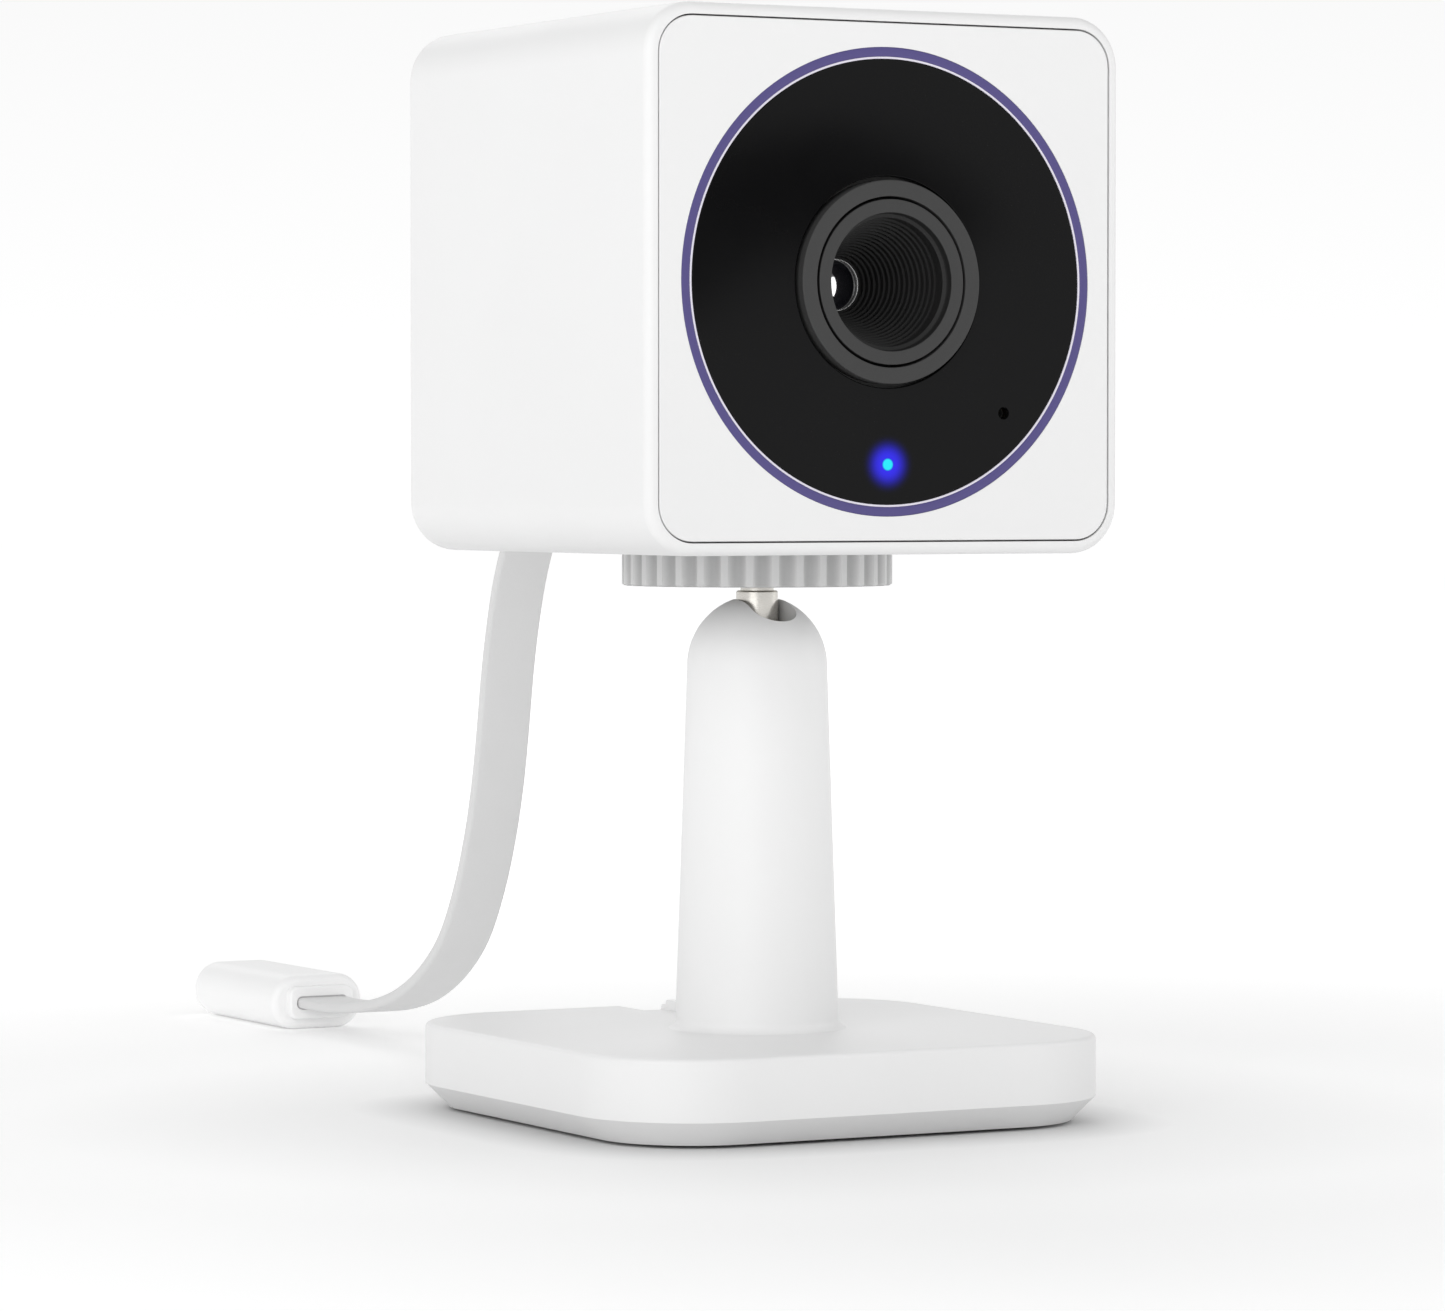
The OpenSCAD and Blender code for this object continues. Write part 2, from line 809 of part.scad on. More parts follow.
module microphone() {
    color("gold") at_mic() block([-1.4, carrier_back - mic_t, head_mid - 1.4],
                                 [1.4, carrier_back, head_mid + 1.4]);
}

module mic_tube() {
    color("dimgray") at_mic() tube(glass_back, carrier_back - mic_t, mic_tube_r, mic_hole_r);
}

module speaker() {
    color("dimgray") {
        rod(rear_in - 2, rear_in, speaker_r, 0, speaker_up);
        rod(rear_in - speaker_t, rear_in - 1.9, speaker_r - 3, 0, speaker_up);
    }
}

module wifi_antenna() {
    x = head_w / 2 - wall;
    color("peru") block([x - 0.4, 0, head_mid - 8], [x, 12, head_mid + 10]);
}

// ---- Head: memory card, button and cable outlet ----

module card_space(gap) {
    block([card_x - card_w / 2 - gap, card_y - gap, card_bottom - gap],
          [card_x + card_w / 2 + gap, card_y + card_t + gap, card_bottom + card_len + gap]);
}

module card_socket() {
    color("silver") difference() {
        block([card_x - socket_w / 2, main_back, floor_in + 2],
              [card_x + socket_w / 2, main_back + socket_t + 0.4, floor_in + 2 + socket_h]);
        card_space(0);
    }
}

module memory_card() {
    color("black") card_space(0);
}

module card_flap() {
    color("whitesmoke") {
        block([card_x - flap_w / 2, flap_front, head_z], [card_x + flap_w / 2, flap_axis_y, head_z + flap_t]);
        translate([card_x - flap_w / 2, flap_axis_y, flap_axis_z]) rotate([0, 90, 0])
            cylinder(r = flap_t / 2, h = flap_w);
    }
}

module setup_switch() {
    color("black") {
        translate([button_x, 0, 0]) block([-switch_w / 2, main_back, head_mid - button_down - switch_w / 2],
                                         [switch_w / 2, main_back + switch_t, head_mid - button_down + switch_w / 2]);
        rod(main_back, main_back + switch_t + switch_stem_t, 0.9, button_x, -button_down);
    }
}

module setup_button() {
    flange_back = rear_in - loose;
    color("gainsboro") {
        rod(flange_back - 0.2, rear + button_proud, button_r, button_x, -button_down);
        rod(flange_back - button_flange_t, flange_back, button_flange_r, button_x, -button_down);
        rod(button_tip, flange_back - 0.5, 1, button_x, -button_down);
    }
}

module power_header() {
    color("ivory") difference() {
        block([-header_w / 2, main_back, outlet_z - header_h / 2], [header_w / 2, lead_start + 1, outlet_z + header_h / 2]);
        block([-cord_w / 2, lead_start, outlet_z - cord_t / 2], [cord_w / 2, rear, outlet_z + cord_t / 2]);
    }
}

module power_lead() {
    color("white") block([-cord_w / 2, lead_start, outlet_z - cord_t / 2],
                         [cord_w / 2, rear + grommet_out, outlet_z + cord_t / 2]);
}

module cable_grommet() {
    color("white") difference() {
        union() {
            bar(rear_in - grommet_flange, rear_in, grommet_w + 2, grommet_h + 2, grommet_h / 2 + 0.9, outlet_z);
            bar(rear_in - 0.5, rear + 0.8, grommet_w, grommet_h, grommet_h / 2 - 0.01, outlet_z);
            bar(rear, rear + grommet_out, cord_w + 1.6, cord_t + 1.6, cord_t / 2 + 0.79, outlet_z);
        }
        block([-cord_w / 2, rear_in - 5, outlet_z - cord_t / 2],
              [cord_w / 2, rear + grommet_out + 1, outlet_z + cord_t / 2]);
    }
}

// ---- Cable ----

// Direction of the route at each point, and its cross-section: a flat oval of eight corners
function toward(i) = let (
    a = route[max(i - 1, 0)],
    b = route[min(i + 1, len(route) - 1)],
    d = b - a
) d / norm(d);

section = [
    [cord_w / 2, cord_t / 4], [cord_w / 2 - cord_t / 4, cord_t / 2],
    [cord_t / 4 - cord_w / 2, cord_t / 2], [-cord_w / 2, cord_t / 4],
    [-cord_w / 2, -cord_t / 4], [cord_t / 4 - cord_w / 2, -cord_t / 2],
    [cord_w / 2 - cord_t / 4, -cord_t / 2], [cord_w / 2, -cord_t / 4]
];

function cord_ring(i) = let (t = toward(i)) [
    for (p = section) [p[0], route[i][0] - t[1] * p[1], route[i][1] + t[0] * p[1]]
];

module usb_cord() {
    color("white") sweep([for (i = [0:len(route) - 1]) cord_ring(i)], len(section));
}

module connector_body() {
    color("white") difference() {
        bar(plug_y, plug_y + plug_len, plug_w, plug_h, plug_h / 2 - 0.01, plug_z0);
        bar(plug_y + plug_len - usb_depth, plug_y + plug_len + 1, usb_w, usb_h, usb_h / 2 - 0.01, plug_z0);
    }
}

module connector_collar() {
    last = len(route) - 1;
    color("white") difference() {
        bar(plug_y - collar_out, plug_y, collar_w, collar_h, 1, plug_z0);
        block([-cord_w / 2 - slot_gap, plug_y - collar_out - 1, plug_z0 - cord_t / 2 - slot_gap],
              [cord_w / 2 + slot_gap, route[last][0], plug_z0 + cord_t / 2 + slot_gap]);
    }
}

module usb_shell() {
    color("silver") difference() {
        bar(plug_y + plug_len - usb_depth, plug_y + plug_len - 0.1, usb_w, usb_h, usb_h / 2 - 0.01, plug_z0);
        bar(plug_y + plug_len - usb_depth + usb_wall, plug_y + plug_len + 1, usb_w - 2 * usb_wall,
            usb_h - 2 * usb_wall, usb_h / 2 - usb_wall - 0.01, plug_z0);
    }
}

module usb_tongue() {
    color("black") bar(plug_y + plug_len - usb_depth + usb_wall, plug_y + plug_len - 1, tongue_w, tongue_t, 0.2, plug_z0);
}

base_shell();
base_cover();
weight_plate();
foot_pad();
cover_screws();
post();
post_nut();
tension_plug();
seat_spring();
seat_cup();
ball_stud();
lock_washer();
lock_nut();
housing();
thread_insert();
front_panel();
panel_gasket();
accent_ring();
glass_carrier();
front_glass();
lens_bezel();
lens_hood();
lens_retainer();
front_lens();
lens_barrel();
rear_lens();
lens_holder();
ir_cut_coil();
filter_carriage();
filter_glass();
image_sensor();
sensor_board();
board_spacers();
heat_sink();
processor();
main_board();
board_screws();
board_flex();
led_board();
status_led();
light_pipe();
ir_emitters();
microphone();
mic_tube();
speaker();
wifi_antenna();
card_socket();
memory_card();
card_flap();
setup_switch();
setup_button();
power_header();
power_lead();
cable_grommet();
usb_cord();
connector_body();
connector_collar();
usb_shell();
usb_tongue();
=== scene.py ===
import json
import math

import bmesh
import bpy
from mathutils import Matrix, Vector

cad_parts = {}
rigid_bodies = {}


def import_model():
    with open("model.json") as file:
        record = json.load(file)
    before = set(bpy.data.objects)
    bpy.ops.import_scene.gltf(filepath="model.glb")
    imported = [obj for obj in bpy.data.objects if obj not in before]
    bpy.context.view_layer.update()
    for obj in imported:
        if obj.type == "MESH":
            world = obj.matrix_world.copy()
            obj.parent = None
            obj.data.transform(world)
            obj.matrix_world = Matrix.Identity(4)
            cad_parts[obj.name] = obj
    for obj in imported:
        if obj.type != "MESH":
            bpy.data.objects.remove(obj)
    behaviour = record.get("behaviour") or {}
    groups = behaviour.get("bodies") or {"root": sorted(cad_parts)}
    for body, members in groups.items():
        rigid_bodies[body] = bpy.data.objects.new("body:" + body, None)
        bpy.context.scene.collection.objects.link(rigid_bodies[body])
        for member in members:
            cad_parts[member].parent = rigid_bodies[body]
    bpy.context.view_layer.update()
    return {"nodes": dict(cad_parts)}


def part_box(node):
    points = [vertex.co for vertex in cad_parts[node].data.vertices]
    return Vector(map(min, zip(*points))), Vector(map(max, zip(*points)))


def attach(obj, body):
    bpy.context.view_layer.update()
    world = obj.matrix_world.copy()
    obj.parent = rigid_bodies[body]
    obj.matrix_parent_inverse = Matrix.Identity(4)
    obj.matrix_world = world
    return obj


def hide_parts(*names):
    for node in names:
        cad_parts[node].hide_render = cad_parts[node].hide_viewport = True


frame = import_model()
nodes = frame["nodes"]
mm = 0.001  # dictionaries are in millimetres and degrees, except the camera's and the studio's
print("frame loaded:", len(nodes), "CAD nodes")


# Places that several pieces share, all taken from the frame

def lowOf(node):
    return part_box(node)[0]


def highOf(node):
    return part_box(node)[1]


def middleOf(node):
    return (lowOf(node) + highOf(node)) / 2


lensAxis = Vector((0, 0, middleOf("lens_bezel").z))
standAxis = Vector((0, 0, 0))
alongY = Vector((0, 1, 0))
alongZ = Vector((0, 0, 1))


# Camera

cameraView = {
    # lengths in metres, and the lens in millimetres
    "yaw": 28.4,  # degrees, how far the camera stands round to the left of the front
    "pitch": 1.76,  # degrees downwards
    "distance": 0.5751,
    "aside": -0.0033,
    "height": 0.0616,
    "lens": 150.1,
}


def addCamera(view):
    yaw = math.radians(view["yaw"])
    ahead = Vector((math.sin(yaw), math.cos(yaw), 0))
    right = Vector((math.cos(yaw), -math.sin(yaw), 0))
    data = bpy.data.cameras.new("camera")
    data.lens = view["lens"]
    data.clip_start = 0.01
    data.clip_end = 20
    camera = bpy.data.objects.new("camera", data)
    camera.location = right * view["aside"] - ahead * view["distance"] + alongZ * view["height"]
    camera.rotation_euler = (math.radians(90 - view["pitch"]), 0, -yaw)
    bpy.context.scene.collection.objects.link(camera)
    bpy.context.scene.camera = camera


addCamera(cameraView)
print("camera placed")


# Modelling by hand: start, select, shape, finish

def onlySelect(piece):
    for other in bpy.context.selected_objects:
        other.select_set(False)
    piece.select_set(True)
    bpy.context.view_layer.objects.active = piece


def newest(name):
    piece = bpy.context.object
    piece.name = name
    piece.data.name = name
    return piece


def edit(piece):
    onlySelect(piece)
    bpy.ops.object.mode_set(mode="EDIT")
    bpy.ops.mesh.select_mode(type="VERT")


def leave():
    bpy.ops.object.mode_set(mode="OBJECT")


def pick(kind, test):
    bpy.ops.mesh.select_mode(type=kind)
    bpy.ops.mesh.select_all(action="DESELECT")
    mesh = bmesh.from_edit_mesh(bpy.context.object.data)
    items = {"VERT": mesh.verts, "EDGE": mesh.edges, "FACE": mesh.faces}[kind]
    for item in items:
        if test(item):
            item.select_set(True)
    mesh.select_flush_mode()
    bmesh.update_edit_mesh(bpy.context.object.data)


def runsAlong(edge, axis):
    way = edge.verts[1].co - edge.verts[0].co
    return abs(way.normalized()[axis]) > 0.999


def facing(face, way):
    return face.normal.dot(way) > 0.999


def rimOf(edge, way):
    # an edge between an end face and a side
    if len(edge.link_faces) != 2:
        return False
    ends = [facing(f, way) for f in edge.link_faces]
    return ends[0] != ends[1]


def bevel(width, segments):
    bpy.ops.mesh.bevel(offset=width, segments=segments, affect="EDGES", clamp_overlap=True)


def block(name, low, high):
    low, high = Vector(low), Vector(high)
    bpy.ops.object.select_all(action="DESELECT")
    bpy.ops.mesh.primitive_cube_add(size=1, location=(low + high) / 2, scale=high - low)
    bpy.ops.object.transform_apply(location=True, rotation=True, scale=True)
    return newest(name)


def roundedBlock(name, low, high, axis, radius, segments, rims=()):
    # a cube whose four long edges are rounded, then its end rims, each as (direction, width, segments)
    piece = block(name, low, high)
    edit(piece)
    pick("EDGE", lambda e: runsAlong(e, axis))
    bevel(radius, segments)
    for way, width, steps in rims:
        pick("EDGE", lambda e, way=Vector(way): rimOf(e, way))
        bevel(width, steps)
    leave()
    return piece


def cylinder(name, centre, radius, depth, axis=alongZ, sides=48):
    turn = alongZ.rotation_difference(axis).to_euler()
    bpy.ops.object.select_all(action="DESELECT")
    bpy.ops.mesh.primitive_cylinder_add(
        vertices=sides, radius=radius, depth=depth, location=centre, rotation=turn
    )
    bpy.ops.object.transform_apply(location=True, rotation=True, scale=True)
    return newest(name)


def joined(name, pieces):
    onlySelect(pieces[0])
    for piece in pieces[1:]:
        piece.select_set(True)
    if len(pieces) > 1:
        bpy.ops.object.join()
    return newest(name)


def applied(piece, kind, **settings):
    onlySelect(piece)
    change = piece.modifiers.new(kind.lower(), kind)
    for key, value in settings.items():
        setattr(change, key, value)
    bpy.ops.object.modifier_apply(modifier=change.name)


def carve(piece, cutters, operation="DIFFERENCE"):
    tool = joined("cutter", cutters)
    applied(piece, "BOOLEAN", object=tool, operation=operation, solver="EXACT", use_self=len(cutters) > 1)
    bpy.data.objects.remove(tool)


def spun(name, outline, centre=standAxis, axis=alongZ, steps=96, closed=True):
    # an outline of (radius, height) in millimetres, drawn by extruding one vertex, then spun round its axis
    across = Vector((1, 0, 0))
    path = [centre + (across * r + axis * h) * mm for r, h in outline]
    if closed:
        path.append(path[0])
    bpy.ops.object.select_all(action="DESELECT")
    bpy.ops.mesh.primitive_plane_add(size=mm, location=path[0])
    bpy.ops.object.transform_apply(location=True, rotation=True, scale=True)
    piece = newest(name)
    edit(piece)
    bpy.ops.mesh.merge(type="CENTER")
    for here, there in zip(path, path[1:]):
        bpy.ops.mesh.extrude_region_move(TRANSFORM_OT_translate={"value": there - here})
    bpy.ops.mesh.select_all(action="SELECT")
    bpy.ops.mesh.spin(steps=steps, angle=math.tau, center=centre, axis=axis)
    bpy.ops.mesh.select_all(action="SELECT")
    bpy.ops.mesh.remove_doubles(threshold=0.5e-6)
    bpy.ops.mesh.dissolve_degenerate(threshold=0.5e-6)
    bpy.ops.mesh.select_all(action="SELECT")
    bpy.ops.mesh.normals_make_consistent(inside=False)
    leave()
    return piece


def arc(r, h, radius, start, end, steps=6):
    # points of a round stretch of an outline, angles in degrees from the radius direction
    turns = [math.radians(start + (end - start) * i / steps) for i in range(steps + 1)]
    return [(r + radius * math.cos(t), h + radius * math.sin(t)) for t in turns]


def ring(name, inner, outer, low, high, soft, centre, axis, steps=160):
    # a ring with its four edges rounded by soft, in millimetres
    outline = []
    out, back, up, down = outer - soft, inner + soft, high - soft, low + soft
    for i, (r, h) in enumerate(((out, up), (back, up), (back, down), (out, down))):
        outline += arc(r, h, soft, 90 * i, 90 * i + 90, 3)
    return spun(name, outline, centre, axis, steps)


def finished(piece, material, body, stands=(), angle=35, weighted=True):
    onlySelect(piece)
    bpy.ops.object.shade_smooth_by_angle(angle=math.radians(angle))
    if weighted:
        applied(piece, "WEIGHTED_NORMAL", weight=50, keep_sharp=True)
    piece.data.materials.clear()
    piece.data.materials.append(material)
    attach(piece, body)
    if stands:
        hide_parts(*stands)
    return piece


# Shader maths: a socket wrapped so that Python sums add Math nodes

class Wire:
    def __init__(self, shader, socket):
        self.shader = shader
        self.socket = socket

    def math(self, operation, first, second):
        return self.shader.node("ShaderNodeMath", {"operation": operation}, {0: first, 1: second})

    def __add__(self, other):
        return self.math("ADD", self, other)

    def __sub__(self, other):
        return self.math("SUBTRACT", self, other)

    def __rsub__(self, other):
        return self.math("SUBTRACT", other, self)

    def __mul__(self, other):
        return self.math("MULTIPLY", self, other)

    def __pow__(self, other):
        return self.math("POWER", self, other)

    def __lt__(self, other):
        return self.math("LESS_THAN", self, other)

    def __gt__(self, other):
        return self.math("GREATER_THAN", self, other)

    __radd__ = __add__
    __rmul__ = __mul__


class Wiring:
    # adds nodes to a tree, each from its type, its settings and what its sockets get
    def __init__(self, tree):
        self.tree = tree
        self.tree.nodes.clear()

    def feed(self, socket, value):
        if isinstance(value, Wire):
            self.tree.links.new(value.socket, socket)
        else:
            socket.default_value = value

    def node(self, kind, settings, inputs, output=0):
        made = self.tree.nodes.new(kind)
        for key, value in settings.items():
            setattr(made, key, value)
        for key, value in inputs.items():
            self.feed(made.inputs[key], value)
        return Wire(self, made.outputs[output])

    def rise(self, value, start, end):
        # from 0 at start to 1 at end
        return self.node("ShaderNodeMapRange", {}, {0: value, 1: start, 2: end})


class Shader(Wiring):
    def __init__(self, name):
        self.material = bpy.data.materials.new(name)
        self.material.use_nodes = True
        super().__init__(self.material.node_tree)
        self.surface = self.tree.nodes.new("ShaderNodeBsdfPrincipled")
        output = self.tree.nodes.new("ShaderNodeOutputMaterial")
        self.tree.links.new(self.surface.outputs[0], output.inputs["Surface"])
        self.place = self.node("ShaderNodeTexCoord", {}, {}, "Object")

    def away(self, centre, keep):
        # distance from a line through the centre, along the axis that keep drops
        toCentre = [-c * k for c, k in zip(centre, keep)]
        moved = {"Vector": self.place, "Location": toCentre, "Scale": keep}
        here = self.node("ShaderNodeMapping", {}, moved)
        return self.node("ShaderNodeVectorMath", {"operation": "LENGTH"}, {0: here}, "Value")

    def noise(self, scale, detail=2.0, roughness=0.5, vector=None):
        sockets = {"Vector": vector or self.place, "Scale": scale, "Detail": detail, "Roughness": roughness}
        return self.node("ShaderNodeTexNoise", {}, sockets)

    def blend(self, mask, first, second):
        # colours, mixed by a mask from 0 to 1
        made = self.tree.nodes.new("ShaderNodeMix")
        made.data_type = "RGBA"
        made.clamp_factor = True
        for socket, value in ((0, mask), (6, first), (7, second)):
            if isinstance(value, tuple):
                value = (*value, 1)
            self.feed(made.inputs[socket], value)
        return Wire(self, made.outputs[2])

    def bump(self, height, distance):
        return self.node("ShaderNodeBump", {}, {"Height": height, "Distance": distance})

    def made(self, **sockets):
        for key, value in sockets.items():
            name = key.replace("_", " ")
            if isinstance(value, tuple):
                value = (*value, 1)
            self.feed(self.surface.inputs[name], value)
        return self.material


def mouldedPlastic(name, colour, rough, grain=2.5, depth=1.2e-6, mottle=0.012, level=0.5):
    # fine spark-eroded grain, a faint mottle in the colour, and a gloss that wanders a little
    s = Shader(name)
    fine = s.noise(1000 * grain, 3, 0.6)
    broad = s.noise(60, 2)
    darker = tuple(c * (1 - mottle * 3) for c in colour)
    return s.made(
        Base_Color=s.blend(broad * 0.6 + fine * 0.25, colour, darker),
        Roughness=rough + broad * 0.08 - 0.04 + fine * 0.05,
        Specular_IOR_Level=level,
        Normal=s.bump(fine, depth),
    )


def metal(name, colour, rough, brushed=(1, 1, 1), depth=1.5e-6):
    # drawn or turned metal: noise stretched along the tool marks
    s = Shader(name)
    stretch = s.node("ShaderNodeMapping", {}, {"Vector": s.place, "Scale": brushed})
    marks = s.noise(2500, 4, 0.65, stretch)
    stain = s.noise(300, 2)
    dull = tuple(c * 0.8 for c in colour)
    return s.made(
        Base_Color=s.blend(stain * 0.7, colour, dull),
        Metallic=1.0,
        Roughness=rough + marks * 0.16 - 0.05,
        Normal=s.bump(marks, depth),
    )


def rubber(name, colour, rough=0.62):
    s = Shader(name)
    fine = s.noise(3500, 3, 0.7)
    dust = s.noise(180, 4, 0.6)
    lighter = tuple(c + 0.05 for c in colour)
    return s.made(
        Base_Color=s.blend(dust * fine, colour, lighter),
        Roughness=rough + fine * 0.16,
        Specular_IOR_Level=0.35,
        Normal=s.bump(fine, 4e-6),
    )


def circuitBoard(name):
    # green mask over copper tracks, with pads
    s = Shader(name)
    tracks = s.node(
        "ShaderNodeTexVoronoi",
        {"distance": "MANHATTAN", "feature": "F1"},
        {"Vector": s.place, "Scale": 900.0, "Randomness": 0.55},
    )
    line = (tracks > 0.34) * (tracks < 0.46)
    pad = tracks < 0.09
    mask = s.blend(line, (0.012, 0.11, 0.045), (0.03, 0.2, 0.08))
    return s.made(
        Base_Color=s.blend(pad, mask, (0.78, 0.6, 0.28)),
        Metallic=pad * 0.9,
        Roughness=0.42 - pad * 0.15 + s.noise(900, 2) * 0.1,
        Normal=s.bump(line, 8e-6),
    )


def clearGlass(name, tint, level=0.5, alpha=1.0):
    s = Shader(name)
    smear = s.noise(140, 3, 0.55)
    darker = tuple(c * 0.85 for c in tint)
    return s.made(
        Base_Color=s.blend(smear, tint, darker),
        Roughness=0.03 + smear * 0.05,
        Specular_IOR_Level=level,
        Coat_Weight=0.4,
        Coat_Roughness=0.02,
        Alpha=alpha,
    )


paint = {
    "shell": mouldedPlastic("shellWhite", (0.80, 0.80, 0.80), 0.42),
    "stand": mouldedPlastic("standWhite", (0.835, 0.835, 0.835), 0.38, grain=2.0, depth=0.8e-6, level=0.34),
    # painted light: the connector's white is brighter than the stand's, to lift it out of the head's shade
    "plugPaintedBright": mouldedPlastic("connectorWhitePaintedLight", (0.92, 0.92, 0.92), 0.34, grain=2.0, depth=0.8e-6, level=0.4),
    "cover": mouldedPlastic("coverWhite", (0.80, 0.80, 0.80), 0.5, grain=1.6, depth=2.5e-6),
    "button": mouldedPlastic("buttonGrey", (0.64, 0.64, 0.64), 0.5, grain=1.6, depth=2.5e-6),
    "purple": mouldedPlastic("accentViolet", (0.070, 0.055, 0.205), 0.4, mottle=0.03),
    "lip": mouldedPlastic("lipPale", (0.72, 0.69, 0.78), 0.35),
    "grey": mouldedPlastic("lensGrey", (0.034, 0.034, 0.034), 0.62, grain=6.0, depth=5e-6, mottle=0.06),
    "black": mouldedPlastic("blackPlastic", (0.016, 0.016, 0.017), 0.5, grain=3.0, depth=3e-6, mottle=0.05),
    "nylon": mouldedPlastic("nylonNatural", (0.68, 0.65, 0.56), 0.45, mottle=0.03),
    "emitter": mouldedPlastic("emitterClear", (0.5, 0.5, 0.58), 0.15, mottle=0.03),
    "steel": metal("nickelSteel", (0.66, 0.64, 0.60), 0.24, (1, 1, 14)),
    "zinc": metal("zincSteel", (0.42, 0.42, 0.43), 0.42, (14, 1, 1), 3e-6),
    "bright": metal("brightMetal", (0.82, 0.82, 0.82), 0.2, (1, 8, 1)),
    "brass": metal("turnedBrass", (0.75, 0.58, 0.28), 0.28, (1, 10, 1)),
    "copper": metal("copperWire", (0.72, 0.42, 0.22), 0.33, (1, 1, 10)),
    "rubber": rubber("greyRubber", (0.035, 0.035, 0.037)),
    # painted shade: the cable's white is set darker than the stand's, for its underside in shade; the
    # strain relief, card flap and power lead share it
    "cable": rubber("cableWhitePaintedShade", (0.66, 0.66, 0.66), 0.45),
    "board": circuitBoard("circuitBoard"),
    "lens": clearGlass("lensGlass", (0.004, 0.004, 0.006), 0.9),
    "filter": clearGlass("filterPane", (0.5, 0.14, 0.18)),
    "sensor": clearGlass("sensorFace", (0.03, 0.035, 0.09)),
}
print("materials mixed:", len(paint))


# Cable first: a flat ribbon swept along the route that its CAD solid follows

cable = {
    "route": [
        (26.5, 65.5), (30, 65.5), (35, 65), (39, 63.6), (43, 61), (46.5, 57.5), (49, 53.8),
        (51, 49.8), (52.6, 45), (53.8, 40), (54.8, 34.5), (56, 29), (57.8, 23.4), (60.4, 17.8),
        (64, 12.6), (68.8, 8.8), (74.6, 6), (81, 4.3), (88, 3.4), (94, 3), (100, 3),
    ],
    "width": 5.8,
    "thickness": 1.2,
    "edge": 0.42,
    "smooth": 5,
}


def smoothRoute(points, steps):
    # a curve through every point, with steps between each two
    path = []
    ends = [points[0] * 2 - points[1]] + points + [points[-1] * 2 - points[-2]]
    for a, b, c, d in zip(ends, ends[1:], ends[2:], ends[3:]):
        for i in range(steps):
            t = i / steps
            second = (2 * a - 5 * b + 4 * c - d) * t**2
            third = (3 * b - a - 3 * c + d) * t**3
            path.append((2 * b + (c - a) * t + second + third) / 2)
    return path + [points[-1]]


def makeCable(size):
    path = smoothRoute([Vector((0, y, z)) * mm for y, z in size["route"]], size["smooth"])
    across, thick, soft = size["width"] / 2 * mm, size["thickness"] / 2 * mm, size["edge"] * mm
    corners = []
    for sx, sz, start in ((1, 1, 0), (-1, 1, 90), (-1, -1, 180), (1, -1, 270)):
        corners += arc(sx * (across - soft), sz * (thick - soft), soft, start, start + 90, 4)
    profile = flatCurve("profile", corners)
    data = bpy.data.curves.new("usb_cable", "CURVE")
    data.dimensions = "3D"
    data.twist_mode = "Z_UP"
    data.bevel_mode = "OBJECT"
    data.bevel_object = profile
    data.use_fill_caps = True
    spline = data.splines.new("POLY")
    spline.points.add(len(path) - 1)
    for point, place in zip(spline.points, path):
        point.co = (*place, 1)
    line = bpy.data.objects.new("usb_cable", data)
    bpy.context.scene.collection.objects.link(line)
    onlySelect(line)
    bpy.ops.object.convert(target="MESH")
    piece = newest("usb_cable")
    bpy.data.objects.remove(profile)
    edit(piece)
    bpy.ops.mesh.select_all(action="SELECT")
    bpy.ops.mesh.remove_doubles(threshold=1e-6)
    bpy.ops.mesh.normals_make_consistent(inside=False)
    leave()
    return piece, path


def flatCurve(name, points):
    data = bpy.data.curves.new(name, "CURVE")
    data.dimensions = "2D"
    spline = data.splines.new("POLY")
    spline.use_cyclic_u = True
    spline.points.add(len(points) - 1)
    for point, (x, y) in zip(spline.points, points):
        point.co = (x, y, 0, 1)
    shape = bpy.data.objects.new(name, data)
    bpy.context.scene.collection.objects.link(shape)
    return shape


cablePiece, cablePath = makeCable(cable)
finished(
    cablePiece, paint["cable"], "camera_head", ["usb_cord"], angle=50, weighted=False
)


# In-line connector at the cable's end

connector = {
    "nearSoft": 0.9,
    "farSoft": 0.45,
    "socketGap": 0.02,
    "collarRound": 1.0,
    "collarSoft": 0.25,
    "slotGap": 0.15,
}


def makeConnector(size):
    low, high = lowOf("connector_body"), highOf("connector_body")
    body = roundedBlock(
        "connector_body_shell", low, high, 1, (high.z - low.z) / 2 - 0.04 * mm, 12,
        [((0, -1, 0), size["nearSoft"] * mm, 6), ((0, 1, 0), size["farSoft"] * mm, 4)],
    )
    socketLow, socketHigh = lowOf("usb_shell"), highOf("usb_shell")
    gap = Vector((1, 1, 1)) * size["socketGap"] * mm
    room = roundedBlock(
        "room", socketLow - gap, socketHigh + gap + alongY * mm, 1, (socketHigh.z - socketLow.z) / 2, 10
    )
    carve(body, [room])
    finished(body, paint["plugPaintedBright"], "camera_head", ["connector_body"])

    low, high = lowOf("connector_collar"), highOf("connector_collar")
    rims = [((0, -1, 0), size["collarSoft"] * mm, 4)]
    collar = roundedBlock("connector_step", low, high, 1, size["collarRound"] * mm, 8, rims)
    side = cable["width"] / 2 + size["slotGap"]
    half = cable["thickness"] / 2 + size["slotGap"]
    middle = (low.z + high.z) / 2
    slot = roundedBlock(
        "slot",
        (-side * mm, low.y - mm, middle - half * mm),
        (side * mm, cablePath[-1].y, middle + half * mm),
        1, half * mm * 0.9, 6,
    )
    carve(collar, [slot])
    finished(collar, paint["plugPaintedBright"], "camera_head", ["connector_collar"])
    return body, collar


connectorPieces = makeConnector(connector)


# Contact tongue in the socket, with its gold contacts

tongue = {
    "side": 0.2,
    "tip": 0.15,
    "contacts": 12,
    "pitch": 0.5,
    "wide": 0.26,
    "long": 3.6,
    "setBack": 0.5,
    "proud": 0.03,
}


